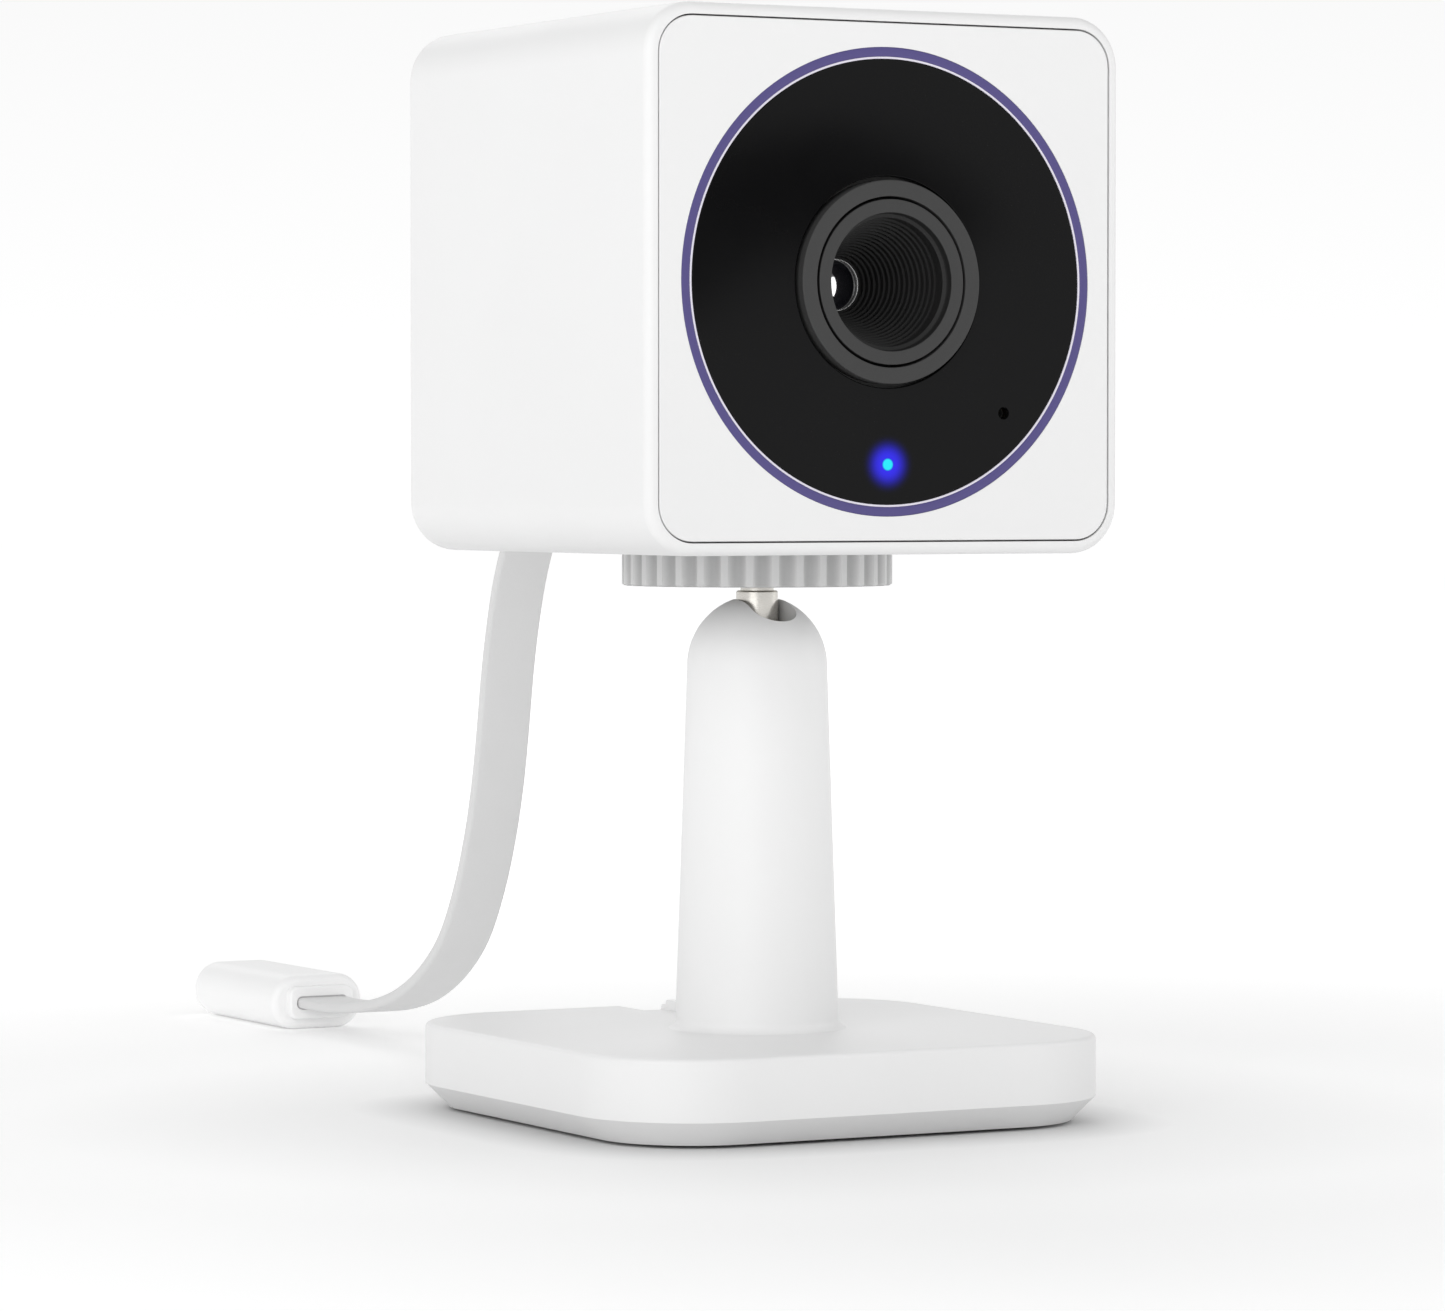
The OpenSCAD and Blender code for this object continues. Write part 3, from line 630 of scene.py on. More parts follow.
def makeTongue(size):
    low, high = lowOf("usb_tongue"), highOf("usb_tongue")
    rims = [((0, 1, 0), size["tip"] * mm, 3)]
    core = roundedBlock("usb_tongue_core", low, high, 1, size["side"] * mm, 4, rims)
    finished(core, paint["black"], "camera_head", ["usb_tongue"])
    strips = []
    for top in (low.z, high.z):
        for i in range(size["contacts"]):
            x = (i - (size["contacts"] - 1) / 2) * size["pitch"] * mm
            half = Vector((size["wide"] / 2, 0, size["proud"])) * mm
            start = Vector((x, high.y - (size["setBack"] + size["long"]) * mm, top))
            strips.append(block("contact", start - half, start + half + alongY * size["long"] * mm))
    contacts = joined("usb_contacts", strips)
    finished(contacts, paint["brass"], "camera_head", (), weighted=False)
    return core, contacts


tonguePieces = makeTongue(tongue)

print("cable and connector made")


# Stand: post

post = {
    "domeRadius": 6.7,
    "footRadius": 7.8,
    "flare": 0.9,
    "ballHeight": 43.0,
    "ballRoom": 4.6,
    "boreRadius": 4.7,
    "spigotRadius": 6.6,
    "spigotEnd": 3.2,
    "deck": 8.4,
    "neckRoom": 2.3,
    "topHole": 1.4,
    "tilt": 30,
}


def makePost(size):
    ball, deck, flare = size["ballHeight"], size["deck"], size["flare"]
    foot, dome = size["footRadius"], size["domeRadius"]
    room, hole, bore = size["ballRoom"], size["topHole"], size["boreRadius"]
    top = math.degrees(math.acos(hole / dome))
    inside = math.degrees(math.acos(hole / room))
    outline = [(bore, size["spigotEnd"]), (size["spigotRadius"], size["spigotEnd"])]
    outline += [(size["spigotRadius"], deck), (foot + flare - 0.2, deck)]
    outline += arc(foot + flare, deck + flare, flare, 257, 182, 8)
    for share in (i / 12 for i in range(1, 12)):
        outline.append((foot + (dome - foot) * share, deck + flare + (ball - deck - flare) * share))
    outline += arc(0, ball, dome, 0, top, 28)
    outline += arc(0, ball, room, inside, 0, 14)
    outline += [(bore, ball)]
    piece = spun("stand_post", outline, steps=144)

    # room for the stud's neck, from upright to its full lean forward
    tilt = math.radians(size["tilt"])
    rods = []
    for lean in (alongZ, Vector((0, -math.sin(tilt), math.cos(tilt)))):
        middle = (alongZ * ball + lean * dome) * mm
        rods.append(cylinder("neck", middle, size["neckRoom"] * mm, 2 * dome * mm, lean, 96))
    way = joined("neck_way", rods)
    edit(way)
    bpy.ops.mesh.select_all(action="SELECT")
    bpy.ops.mesh.convex_hull()
    leave()
    carve(piece, [way])
    finished(piece, paint["stand"], "stand", ["post"], angle=38)


makePost(post)


# Stand: base shell with the cable's channel and the low rib beside it

base = {
    "corner": 11.7,
    "topSoft": 0.5,
    "wall": 2.2,
    "cavityTop": 6.0,
    "bossRadius": 2.4,
    "bossAt": 17.5,
    "bossSunk": 0.6,
    "pilot": 0.9,
    "pilotFrom": 1.6,
    "pilotRoof": 0.4,
    "channelX": 1.2,
    "channelWide": 5.0,
    "channelDeep": 0.6,
    "channelLong": 16.0,
    "channelSoft": 0.12,
    "ribWide": 1.1,
    "ribHigh": 0.45,
    "ribSunk": 0.9,
    "ribSoft": 0.2,
    "spigotRoom": 6.65,
}


def cornerRods(name, at, radius, low, high, sides=32):
    rods = []
    for x in (-at, at):
        for y in (-at, at):
            middle = Vector((x, y, (low + high) / 2)) * mm
            rods.append(cylinder(name, middle, radius * mm, (high - low) * mm, sides=sides))
    return rods


def makeBase(size):
    low, high = lowOf("base_shell"), highOf("base_shell")
    deck = high.z - size["ribHigh"] * mm
    piece = roundedBlock(
        "base_upper_shell", low, (high.x, high.y, deck), 2, size["corner"] * mm, 24,
        [((0, 0, 1), size["topSoft"] * mm, 5)],
    )
    edit(piece)
    pick("FACE", lambda f: facing(f, -alongZ))
    bpy.ops.mesh.inset(thickness=size["wall"] * mm)
    up = size["cavityTop"] * mm - low.z
    bpy.ops.mesh.extrude_region_move(TRANSFORM_OT_translate={"value": (0, 0, up)})
    leave()
    bossTop = size["cavityTop"] + size["bossSunk"]
    bosses = cornerRods("boss", size["bossAt"], size["bossRadius"], low.z / mm, bossTop)
    right = size["channelX"] + size["channelWide"] / 2
    start = high.y / mm - size["channelLong"]
    rib = roundedBlock(
        "rib",
        Vector((right, start, deck / mm - size["ribSunk"])) * mm,
        Vector((right + size["ribWide"], high.y / mm - 1, deck / mm + size["ribHigh"])) * mm,
        1, size["ribSoft"] * mm, 4,
    )
    carve(piece, [*bosses, rib], "UNION")
    left = size["channelX"] - size["channelWide"] / 2
    channel = roundedBlock(
        "channel",
        Vector((left, start, deck / mm - size["channelDeep"])) * mm,
        Vector((right, high.y / mm + 1, deck / mm + 1)) * mm,
        1, size["channelSoft"] * mm, 3,
    )
    hole = cylinder("hole", alongZ * 7 * mm, size["spigotRoom"] * mm, 4 * mm, sides=96)
    pilotTop = size["cavityTop"] - size["pilotRoof"]
    pilots = cornerRods("pilot", size["bossAt"], size["pilot"], size["pilotFrom"], pilotTop)
    carve(piece, [channel, hole, *pilots])
    finished(piece, paint["stand"], "stand", ["base_shell"])


makeBase(base)


# Stand: chamfered cover under the base, and the grooved rubber foot pad

cover = {
    "chamfer": 2.28,
    "padRoom": 1.62,
    "recess": 0.7,
    "headRoom": 2.4,
    "headFromTo": (0.4, 1.8),
    "screwRoom": 1.0,
    "screwFromTo": (1.0, 4.0),
}


def makeCover(size):
    low, high = lowOf("base_cover"), highOf("base_cover")
    piece = roundedBlock(
        "base_lower_cover", low, high, 2, base["corner"] * mm, 24, [((0, 0, -1), size["chamfer"] * mm, 1)]
    )
    edit(piece)
    pick("FACE", lambda f: facing(f, -alongZ))
    bpy.ops.mesh.inset(thickness=size["padRoom"] * mm)
    bpy.ops.mesh.extrude_region_move(TRANSFORM_OT_translate={"value": (0, 0, size["recess"] * mm)})
    leave()
    heads = cornerRods("head", base["bossAt"], size["headRoom"], *size["headFromTo"])
    shanks = cornerRods("shank", base["bossAt"], size["screwRoom"], *size["screwFromTo"])
    carve(piece, [*heads, *shanks])
    finished(piece, paint["cover"], "stand", ["base_cover"])


makeCover(cover)

footPad = {
    "corner": 7.8,
    "soft": 0.25,
    "firstRing": 1.6,
    "ringGap": 3.2,
    "groove": 0.7,
    "deep": 0.3,
    "rings": 2,
}


def makeFootPad(size):
    low, high = lowOf("foot_pad"), highOf("foot_pad")
    piece = roundedBlock(
        "foot_pad_grooved", low, high, 2, size["corner"] * mm, 12, [((0, 0, -1), size["soft"] * mm, 3)]
    )
    edit(piece)
    pick("FACE", lambda f: facing(f, -alongZ))
    gaps = [size["firstRing"]] + [size["ringGap"]] * (size["rings"] - 1)
    for gap in gaps:
        for inset, rise in ((gap, size["deep"]), (size["groove"], -size["deep"])):
            bpy.ops.mesh.inset(thickness=inset * mm)
            bpy.ops.mesh.extrude_region_move(TRANSFORM_OT_translate={"value": (0, 0, rise * mm)})
    leave()
    finished(piece, paint["rubber"], "stand", ["foot_pad"])


makeFootPad(footPad)
print("stand made")


# Ball stud: ball, neck with its undercut, and the threaded shank

stud = {
    "ball": 4.5,
    "neck": 2.0,
    "neckSoft": 0.15,
    "undercut": 1.6,
    "neckEnd": 50.15,
    "threadStart": 50.65,
    "threadLead": 0.3,
    "threadEnd": 0.35,
    "thread": 3.1,
    "threadRoot": 2.78,
    "pitch": 0.79,
    "top": 60.85,
}


def makeStud(size):
    ball = post["ballHeight"]
    meets = math.degrees(math.acos(size["neck"] / size["ball"]))
    outline = arc(0, ball, size["ball"], -90, meets, 36)
    outline[0] = (0, ball - size["ball"])
    neck, neckEnd, neckSoft = size["neck"], size["neckEnd"], size["neckSoft"]
    outline += [(neck, neckEnd - neckSoft), (neck - neckSoft, neckEnd)]
    thread, start, pitch = size["thread"], size["threadStart"], size["pitch"]
    lead, end, top = size["threadLead"], size["threadEnd"], size["top"]
    outline += [(size["undercut"], neckEnd), (size["undercut"], start)]
    outline += [(thread - lead, start), (thread, start + lead)]
    height = start + 2 * lead
    while height + pitch < top - end:
        # crest, root and the next crest
        outline += [(thread, height), (size["threadRoot"], height + pitch * 0.45)]
        outline += [(thread, height + pitch * 0.9)]
        height += pitch
    outline += [(thread, top - end), (thread - end, top), (0, top)]
    piece = spun("ball_stud_turned", outline, steps=72, closed=False)
    finished(piece, paint["steel"], "ball_stud", ["ball_stud"])


makeStud(stud)


# Fluted lock nut and the nylon washer that lies in its top

nut = {
    "radius": 12.9,
    "flutes": 34,
    "pointsPerFlute": 14,
    "fluteRadius": 0.95,
    "fluteOut": 0.42,
    "crest": (12.4, 12.82),  # from here to here the flutes' shade gives way to the crests'
    "soft": 0.22,
    "softDrop": 0.154,
    "bore": 3.15,
    "recess": 8.2,
}


def fluteDepth(size, turn):
    # how far from the axis the rim stands at a turn, in radians
    share = math.tau / size["flutes"]
    off = (turn + share / 2) % share - share / 2
    centre = size["radius"] + size["fluteOut"]
    reach = size["fluteRadius"] ** 2 - (centre * math.sin(off)) ** 2
    if reach <= 0:
        return size["radius"]
    return min(size["radius"], centre * math.cos(off) - math.sqrt(reach))


def nutPaint(size):
    # painted shade: the flutes are painted darker than the crests, as shade in their hollows
    s = Shader("lockNutGrey")
    start, end = size["crest"]
    # painted shade mask: 0 deep in the flutes, 1 on the crests
    crest = s.rise(s.away(standAxis, (1, 1, 0)), start * mm, end * mm)
    fine = s.noise(2600, 3, 0.6)
    return s.made(
        Base_Color=s.blend(crest * 0.85 + fine * 0.15, (0.40, 0.40, 0.40), (0.62, 0.62, 0.62)),
        Roughness=0.42 + fine * 0.1,
        Specular_IOR_Level=0.45,
        Normal=s.bump(fine, 2.5e-6),
    )


paint["nutFlutes"] = nutPaint(nut)


def makeNut(size):
    low, high = lowOf("lock_nut"), highOf("lock_nut")
    count = size["flutes"] * size["pointsPerFlute"]
    bpy.ops.object.select_all(action="DESELECT")
    bpy.ops.mesh.primitive_circle_add(vertices=count, radius=size["radius"] * mm, fill_type="NGON")
    piece = newest("lock_nut_fluted")
    for vert in piece.data.vertices:
        turn = math.atan2(vert.co.y, vert.co.x)
        reach = fluteDepth(size, turn) * mm
        vert.co = (reach * math.cos(turn), reach * math.sin(turn), low.z)
    edit(piece)
    bpy.ops.mesh.select_all(action="SELECT")
    bpy.ops.mesh.extrude_region_move(TRANSFORM_OT_translate={"value": (0, 0, high.z - low.z)})
    bpy.ops.mesh.select_all(action="SELECT")
    bpy.ops.mesh.normals_make_consistent(inside=False)
    for way, end in ((alongZ, high.z), (-alongZ, low.z)):
        # the end's rim drops, so that the edge is broken
        pick("FACE", lambda f: facing(f, way))
        bpy.ops.mesh.inset(thickness=size["soft"] * mm)
        pick("VERT", lambda v: abs(v.co.z - end) < 0.0001 * mm and isOuter(v))
        bpy.ops.transform.translate(value=-way * size["softDrop"] * mm)
    leave()
    bore = cylinder("bore", alongZ * (low.z + high.z) / 2, size["bore"] * mm, 6 * mm, sides=64)
    recess = cylinder(
        "recess", alongZ * (lowOf("lock_washer").z + mm), size["recess"] * mm, 2 * mm, sides=96
    )
    carve(piece, [bore, recess])
    finished(piece, paint["nutFlutes"], "lock_nut", ["lock_nut"], angle=40)


def isOuter(vert):
    # a corner on a side wall, not only on an end face
    return any(abs(face.normal.z) < 0.5 for face in vert.link_faces)


makeNut(nut)

washer = {"hole": 3.3, "soft": 0.08, "topGap": 0.03}


def makeWasher(size):
    low, high = lowOf("lock_washer") / mm, highOf("lock_washer") / mm
    piece = ring(
        "lock_washer_ring", size["hole"], high.x, low.z, high.z - size["topGap"], size["soft"],
        standAxis, alongZ, 96,
    )
    finished(piece, paint["nylon"], "lock_washer", ["lock_washer"])


makeWasher(washer)
print("stud, nut and washer made")


# Head: housing, a hollow block with a thin rim in front, and the openings in its rear and underside

housing = {
    "corner": 4.7,
    "rim": 1.0,
    "rimWide": 1.15,
    "wall": 2.0,
    "rearInside": 22.8,
    "panelSeat": -22.3,
    "grilleHole": 0.6,
    "grilleStep": 2.4,
    "grilleUp": 7.0,
    "buttonX": -13.0,
    "buttonDown": 12.0,
    "buttonRoom": 2.15,
    "outletZ": 65.5,
    "outlet": (8.8, 4.2),
    "rearY": 24.0,
    "rearCut": 5.0,
    "insertRadius": 4.4,
    "insertDeep": 9.0,
    "bossRadius": 6.4,
    "flapRoom": 0.2,
    "flapRoof": 0.1,
    "cardRoom": 0.3,
    "cardDeep": 2.5,
}


def grilleHoles(size):
    # one hole in the middle, then six more in each ring round it
    centre = lensAxis + Vector((0, size["rearY"], size["grilleUp"])) * mm
    places = [centre]
    for ringAt in (1, 2):
        for i in range(6 * ringAt):
            turn = math.tau * i / (6 * ringAt)
            out = Vector((math.cos(turn), 0, math.sin(turn))) * size["grilleStep"] * ringAt * mm
            places.append(centre + out)
    hole, deep = size["grilleHole"] * mm, size["rearCut"] * mm
    return [cylinder("grille", place, hole, deep, alongY, 24) for place in places]


def makeHousing(size):
    low, high = lowOf("housing"), highOf("housing")
    piece = roundedBlock(
        "head_housing", low, high, 1, size["corner"] * mm, 14,
        [((0, -1, 0), size["rim"] * mm, 8), ((0, 1, 0), size["rim"] * mm, 8)],
    )
    edit(piece)
    pick("FACE", lambda f: facing(f, -alongY))
    bpy.ops.mesh.inset(thickness=(size["rimWide"] - size["rim"]) * mm)
    seat = size["panelSeat"] * mm - low.y
    bpy.ops.mesh.extrude_region_move(TRANSFORM_OT_translate={"value": (0, seat, 0)})
    bpy.ops.mesh.inset(thickness=(size["wall"] - size["rimWide"]) * mm)
    inside = (size["rearInside"] - size["panelSeat"]) * mm
    bpy.ops.mesh.extrude_region_move(TRANSFORM_OT_translate={"value": (0, inside, 0)})
    leave()
    deep = size["insertDeep"] * mm
    seatAt = low + alongZ * deep / 2
    seatAt.x = seatAt.y = 0
    boss = cylinder("boss", seatAt + alongZ * 0.5 * mm, size["bossRadius"] * mm, deep - 0.5 * mm, sides=64)
    carve(piece, [boss], "UNION")

    opening = Vector((size["outlet"][0] / 2, 2, size["outlet"][1] / 2)) * mm
    outletAt = Vector((0, size["rearY"], size["outletZ"])) * mm
    outlet = roundedBlock("outlet", outletAt - opening, outletAt + opening, 1, opening.z - 0.03 * mm, 10)
    buttonAt = lensAxis + Vector((size["buttonX"], size["rearY"], -size["buttonDown"])) * mm
    button = cylinder("button", buttonAt, size["buttonRoom"] * mm, size["rearCut"] * mm, alongY, 48)
    insert = cylinder("insert", seatAt, size["insertRadius"] * mm, deep + 2 * mm, sides=64)
    rooms = []
    for node, gap, roof in (
        ("card_flap", size["flapRoom"], highOf("card_flap").z + size["flapRoof"] * mm),
        ("memory_card", size["cardRoom"], low.z + size["cardDeep"] * mm),
    ):
        start = lowOf(node) - Vector((gap, gap, 2)) * mm
        end = highOf(node) + Vector((gap, gap, 0)) * mm
        end.z = roof
        rooms.append(block("room", start, end))
    for cutters in (grilleHoles(size), [outlet, button], [insert], rooms[:1], rooms[1:]):
        carve(piece, cutters)
    finished(piece, paint["shell"], "camera_head", ["housing"])


makeHousing(housing)


# Front panel with its snap legs, the accent ring, and the carrier whose lip shows beside the glass

panel = {
    "corner": 3.4,
    "edge": 0.12,
    "ringHole": 21.5,
    "depth": 2.2,
    "snapAt": (22.2, 16.0),
    "snapHalf": (0.6, 0.0, 4.0),
    "snapRoot": 0.4,
    "snapLong": 6.0,
}
accent = {"outer": 21.5, "inner": 20.62, "soft": 0.1}
carrier = {"lip": 20.62, "glass": 20.42, "flange": 22.4, "shoulder": 19.42, "soft": 0.06}


def makePanel(size):
    low, high = lowOf("front_panel"), highOf("front_panel")
    back = low.y + size["depth"] * mm
    piece = roundedBlock(
        "front_panel_square", low, (high.x, back, high.z), 1, size["corner"] * mm, 12,
        [((0, -1, 0), size["edge"] * mm, 3)],
    )
    hole = cylinder("hole", lensAxis + alongY * low.y, size["ringHole"] * mm, 9 * mm, alongY, 192)
    carve(piece, [hole])
    snaps = []
    half, root, end = Vector(size["snapHalf"]), alongY * size["snapRoot"], alongY * size["snapLong"]
    for x in (-1, 1):
        for z in (-1, 1):
            middle = Vector((x * size["snapAt"][0], back / mm, lensAxis.z / mm + z * size["snapAt"][1]))
            snaps.append(block("snap", (middle - half - root) * mm, (middle + half + end) * mm))
    carve(piece, snaps, "UNION")
    finished(piece, paint["shell"], "camera_head", ["front_panel"], angle=30)


makePanel(panel)


def makeAccent(size):
    front, back = lowOf("accent_ring").y / mm, highOf("accent_ring").y / mm
    piece = ring(
        "accent_ring_violet", size["inner"], size["outer"], front, back, size["soft"], lensAxis, alongY, 256
    )
    finished(piece, paint["purple"], "camera_head", ["accent_ring"])


makeAccent(accent)


def makeCarrier(size):
    front, back = lowOf("glass_carrier").y / mm, highOf("glass_carrier").y / mm
    seat = highOf("front_glass").y / mm
    shelf = front + panel["depth"]
    soft = size["soft"]
    outline = arc(size["lip"] - soft, front + soft, soft, 0, -90, 3)
    outline += arc(size["glass"] + soft, front + soft, soft, -90, -180, 3)
    outline += [(size["glass"], seat), (size["shoulder"], seat), (size["shoulder"], back)]
    outline += [(size["flange"], back), (size["flange"], shelf), (size["lip"], shelf)]
    piece = spun("glass_carrier_lip", outline, lensAxis, alongY, 256)
    finished(piece, paint["lip"], "camera_head", ["glass_carrier"])


makeCarrier(carrier)


# Black front glass, with the holes for the microphone and the status light

glass = {
    "hole": 9.7,
    "soft": 0.1,
    "ledDrop": 16.72,
    "ledHole": 0.6,
    "micAt": 17.22,
    "micAngle": -44,
    "micHole": 0.58,
    "glow": (0.48, 3.4),
    "glowColour": (0.03, 0.022, 0.85),
}
ledPlace = lensAxis - alongZ * glass["ledDrop"] * mm


def glassPaint(size):
    # polished black, with the light's blue spill fading out round its hole
    s = Shader("frontGlassBlack")
    start, end = size["glow"]
    near = s.node(
        "ShaderNodeMapRange",
        {"interpolation_type": "SMOOTHERSTEP"},
        {0: s.away(ledPlace, (1, 0, 1)), 1: start * mm, 2: end * mm, 3: 1.0, 4: 0.0},
    )
    smear = s.noise(90, 3, 0.55)
    return s.made(
        Base_Color=s.blend(smear, (0.0030, 0.0030, 0.0032), (0.0042, 0.0042, 0.0045)),
        Roughness=0.06 + smear * 0.05,
        Specular_IOR_Level=0.13,
        Emission_Color=s.blend(near ** 2.6, (0, 0, 0), size["glowColour"]),
        Emission_Strength=1.0,
    )


paint["glass"] = glassPaint(glass)


def makeGlass(size):
    low, high = lowOf("front_glass"), highOf("front_glass")
    piece = ring(
        "front_glass_disc", size["hole"], high.x / mm, low.y / mm, high.y / mm, size["soft"],
        lensAxis, alongY, 256,
    )
    led = cylinder("led", ledPlace + alongY * low.y, size["ledHole"] * mm, 5 * mm, alongY, 32)
    turn = math.radians(size["micAngle"])
    micPlace = lensAxis + Vector((math.cos(turn), 0, math.sin(turn))) * size["micAt"] * mm
    mic = cylinder("mic", micPlace + alongY * low.y, size["micHole"] * mm, 5 * mm, alongY, 32)
    carve(piece, [led, mic])
    finished(piece, paint["glass"], "camera_head", ["front_glass"], angle=30)


makeGlass(glass)
print("housing, panel, ring and glass made")


# Lens: bezel, hood with its stepped light traps, retaining ring and the small domed element

bezel = {"outer": 9.34, "bore": 7.84, "soft": 0.12, "boreSoft": 0.06, "flange": 10.6}
hood = {
    "outer": 7.58,
    "soft": 0.07,
    "mouth": 6.35,
    "mouthSoft": 0.07,
    "firstTrap": 5.93,
    "pupil": 2.45,
    "trapStart": 1.6,
    "trapDepth": 10.5,
    "traps": 16,
    "flange": 9.2,
    "barrel": 6.9,
}
element = {"radius": 2.45, "curve": 9.0, "bulge": 0.25, "trim": 0.09, "trimSoft": 0.03}


def hoodPaint():
    # grey face, with the stepped throat behind it set near black
    s = Shader("lensHoodGrey")
    front = lowOf("lens_hood").y
    depth = s.node("ShaderNodeSeparateXYZ", {}, {0: s.place}, 1)
    throat = s.rise(depth, front + 0.06 * mm, front + 0.16 * mm)
    fine = s.noise(6000, 3, 0.6)
    colour = s.blend(fine, (0.031, 0.031, 0.031), (0.038, 0.038, 0.038))
    return s.made(
        Base_Color=s.blend(throat, colour, (0.007, 0.007, 0.007)),
        Roughness=0.55 + fine * 0.12,
        Specular_IOR_Level=0.4,
        Normal=s.bump(fine, 5e-6),
    )


paint["hood"] = hoodPaint()


def makeBezel(size):
    front, back = lowOf("lens_bezel").y / mm, highOf("lens_bezel").y / mm
    seat = highOf("front_glass").y / mm
    soft, inner = size["soft"], size["boreSoft"]
    outline = [(size["bore"], back)]
    outline += arc(size["bore"] + inner, front + inner, inner, 180, 270, 4)
    outline += arc(size["outer"] - soft, front + soft, soft, 270, 360, 6)
    outline += [(size["outer"], seat), (size["flange"], seat), (size["flange"], back)]
    piece = spun("lens_bezel_ring", outline, lensAxis, alongY, 192)
    finished(piece, paint["grey"], "camera_head", ["lens_bezel"])


def makeHood(size):
    front, end = lowOf("lens_hood").y / mm, highOf("lens_hood").y / mm
    back = highOf("lens_bezel").y / mm
    seat = highOf("front_glass").y / mm
    soft, inner = size["soft"], size["mouthSoft"]
    outline = arc(size["mouth"] + inner, front + inner, inner, 180, 270, 6)
    outline += arc(size["outer"] - soft, front + soft, soft, 270, 360, 5)
    outline += [(size["outer"], back), (size["flange"], back), (size["flange"], back + 1)]
    outline += [(size["barrel"], back + 1), (size["barrel"], end), (size["pupil"], end)]
    pitch = (size["trapDepth"] - size["trapStart"]) / size["traps"]
    drop = (size["firstTrap"] - size["pupil"]) / size["traps"]
    for i in reversed(range(size["traps"])):
        radius = size["firstTrap"] - i * drop
        start = front + size["trapStart"] + i * pitch
        outline += [(radius, start + pitch - 0.02), (radius - 0.03, start + 0.16), (radius, start)]
    outline += [(size["firstTrap"], front + 0.95), (size["mouth"] - 0.1, front + 0.8)]
    outline += [(size["mouth"], front + 0.6)]
    piece = spun("lens_hood_stepped", outline, lensAxis, alongY, 192)
    finished(piece, paint["hood"], "camera_head", ["lens_hood"], angle=30)


def makeElement(size):
    front, back = lowOf("front_lens").y / mm, highOf("front_lens").y / mm
    radius, curve, bulge = size["radius"], size["curve"], size["bulge"]
    reach = math.sqrt(curve**2 - (curve - bulge) ** 2)
    outline = [(0, front)]
    for r in (reach * i / 12 for i in range(1, 13)):
        outline.append((r, front + curve - math.sqrt(curve**2 - r * r)))
    outline += [(radius, front + bulge), (radius, back), (0, back)]
    piece = spun("lens_element_front", outline, lensAxis, alongY, 96, closed=False)
    finished(piece, paint["lens"], "camera_head", ["front_lens"])

    front, back = lowOf("lens_retainer").y / mm, highOf("lens_retainer").y / mm
    trim = ring(
        "lens_retaining_ring", radius - size["trim"], radius, front, back, size["trimSoft"],
        lensAxis, alongY, 96,
    )
    finished(trim, paint["bright"], "camera_head", ["lens_retainer"])


makeBezel(bezel)
makeHood(hood)
makeElement(element)
print("lens made")


# Rear and underside: strain relief, setup button and card flap

strainRelief = {
    "steps": [
        # half width, half height, where it starts and ends along Y, and how far its rear edge is rounded
        (5.4, 3.1, 21.6, 22.8, 0.2),
        (4.4, 2.1, 22.3, 25.8, 0.45),
        (3.7, 1.4, 25.0, 26.5, 0.3),
    ],
    "slotHalf": (2.9, 4.0, 0.6),
}


def makeStrainRelief(size):
    middle = Vector((0, 0, housing["outletZ"]))
    pieces = []
    for halfWide, halfHigh, start, end, soft in size["steps"]:
        low = (middle + Vector((-halfWide, start, -halfHigh))) * mm
        high = (middle + Vector((halfWide, end, halfHigh))) * mm
        rims = [((0, 1, 0), soft * mm, 4)]
        pieces.append(roundedBlock("relief", low, high, 1, (halfHigh - 0.03) * mm, 10, rims))
    piece = pieces[0]
    for step in pieces[1:]:
        carve(piece, [step], "UNION")
    middle.y, half = housing["rearY"], Vector(size["slotHalf"])
    carve(piece, [block("slot", (middle - half) * mm, (middle + half) * mm)])
    piece.name = "strain_relief_oval"
    finished(piece, paint["cable"], "camera_head", ["cable_grommet"])


button = {
    "radius": 2.0,
    "soft": 0.2,
    "flange": 2.8,
    "stem": 1.0,
    "dish": [(0, 25.02), (0.7, 25.05), (1.3, 25.13)],  # its face is slightly hollow
    "faceEdge": 25.0,
    "flangeFrom": 22.6,
    "flangeTo": 21.6,
    "stemEnd": 17.7,
}


def makeButton(size):
    centre = Vector((housing["buttonX"] * mm, 0, lensAxis.z - housing["buttonDown"] * mm))
    radius, soft, flange, stem = size["radius"], size["soft"], size["flange"], size["stem"]
    outline = size["dish"] + arc(radius - soft, size["faceEdge"], soft, 90, 0, 4)
    outline += [(radius, size["flangeFrom"]), (flange, size["flangeFrom"]), (flange, size["flangeTo"])]
    outline += [(stem, size["flangeTo"]), (stem, size["stemEnd"]), (0, size["stemEnd"])]
    piece = spun("setup_button_round", outline, centre, alongY, 72, closed=False)
    finished(piece, paint["button"], "setup_button", ["setup_button"])


flap = {"soft": 0.12, "nailIn": 0.9, "nailBelow": 0.15, "nailRadius": 0.45, "nailLong": 5.0}


def makeFlap(size):
    low, high, middle = lowOf("card_flap"), highOf("card_flap"), middleOf("card_flap")
    across = Vector((1, 0, 0))
    radius = (high.z - low.z) / 2
    axisY = high.y - radius
    piece = roundedBlock("card_flap_soft", low, (high.x, axisY, high.z), 0, size["soft"] * mm, 3)
    hingeAt = Vector((middle.x, axisY, middle.z))
    carve(piece, [cylinder("hinge", hingeAt, radius, high.x - low.x, across, 40)], "UNION")
    nailAt = Vector((middle.x, low.y + size["nailIn"] * mm, low.z - size["nailBelow"] * mm))
    carve(piece, [cylinder("nail", nailAt, size["nailRadius"] * mm, size["nailLong"] * mm, across, 32)])
    finished(piece, paint["cable"], "card_flap", ["card_flap"])


makeStrainRelief(strainRelief)
makeButton(button)
makeFlap(flap)
print("strain relief, button and flap made")


# Status light: the core burns cyan, and its rim blue

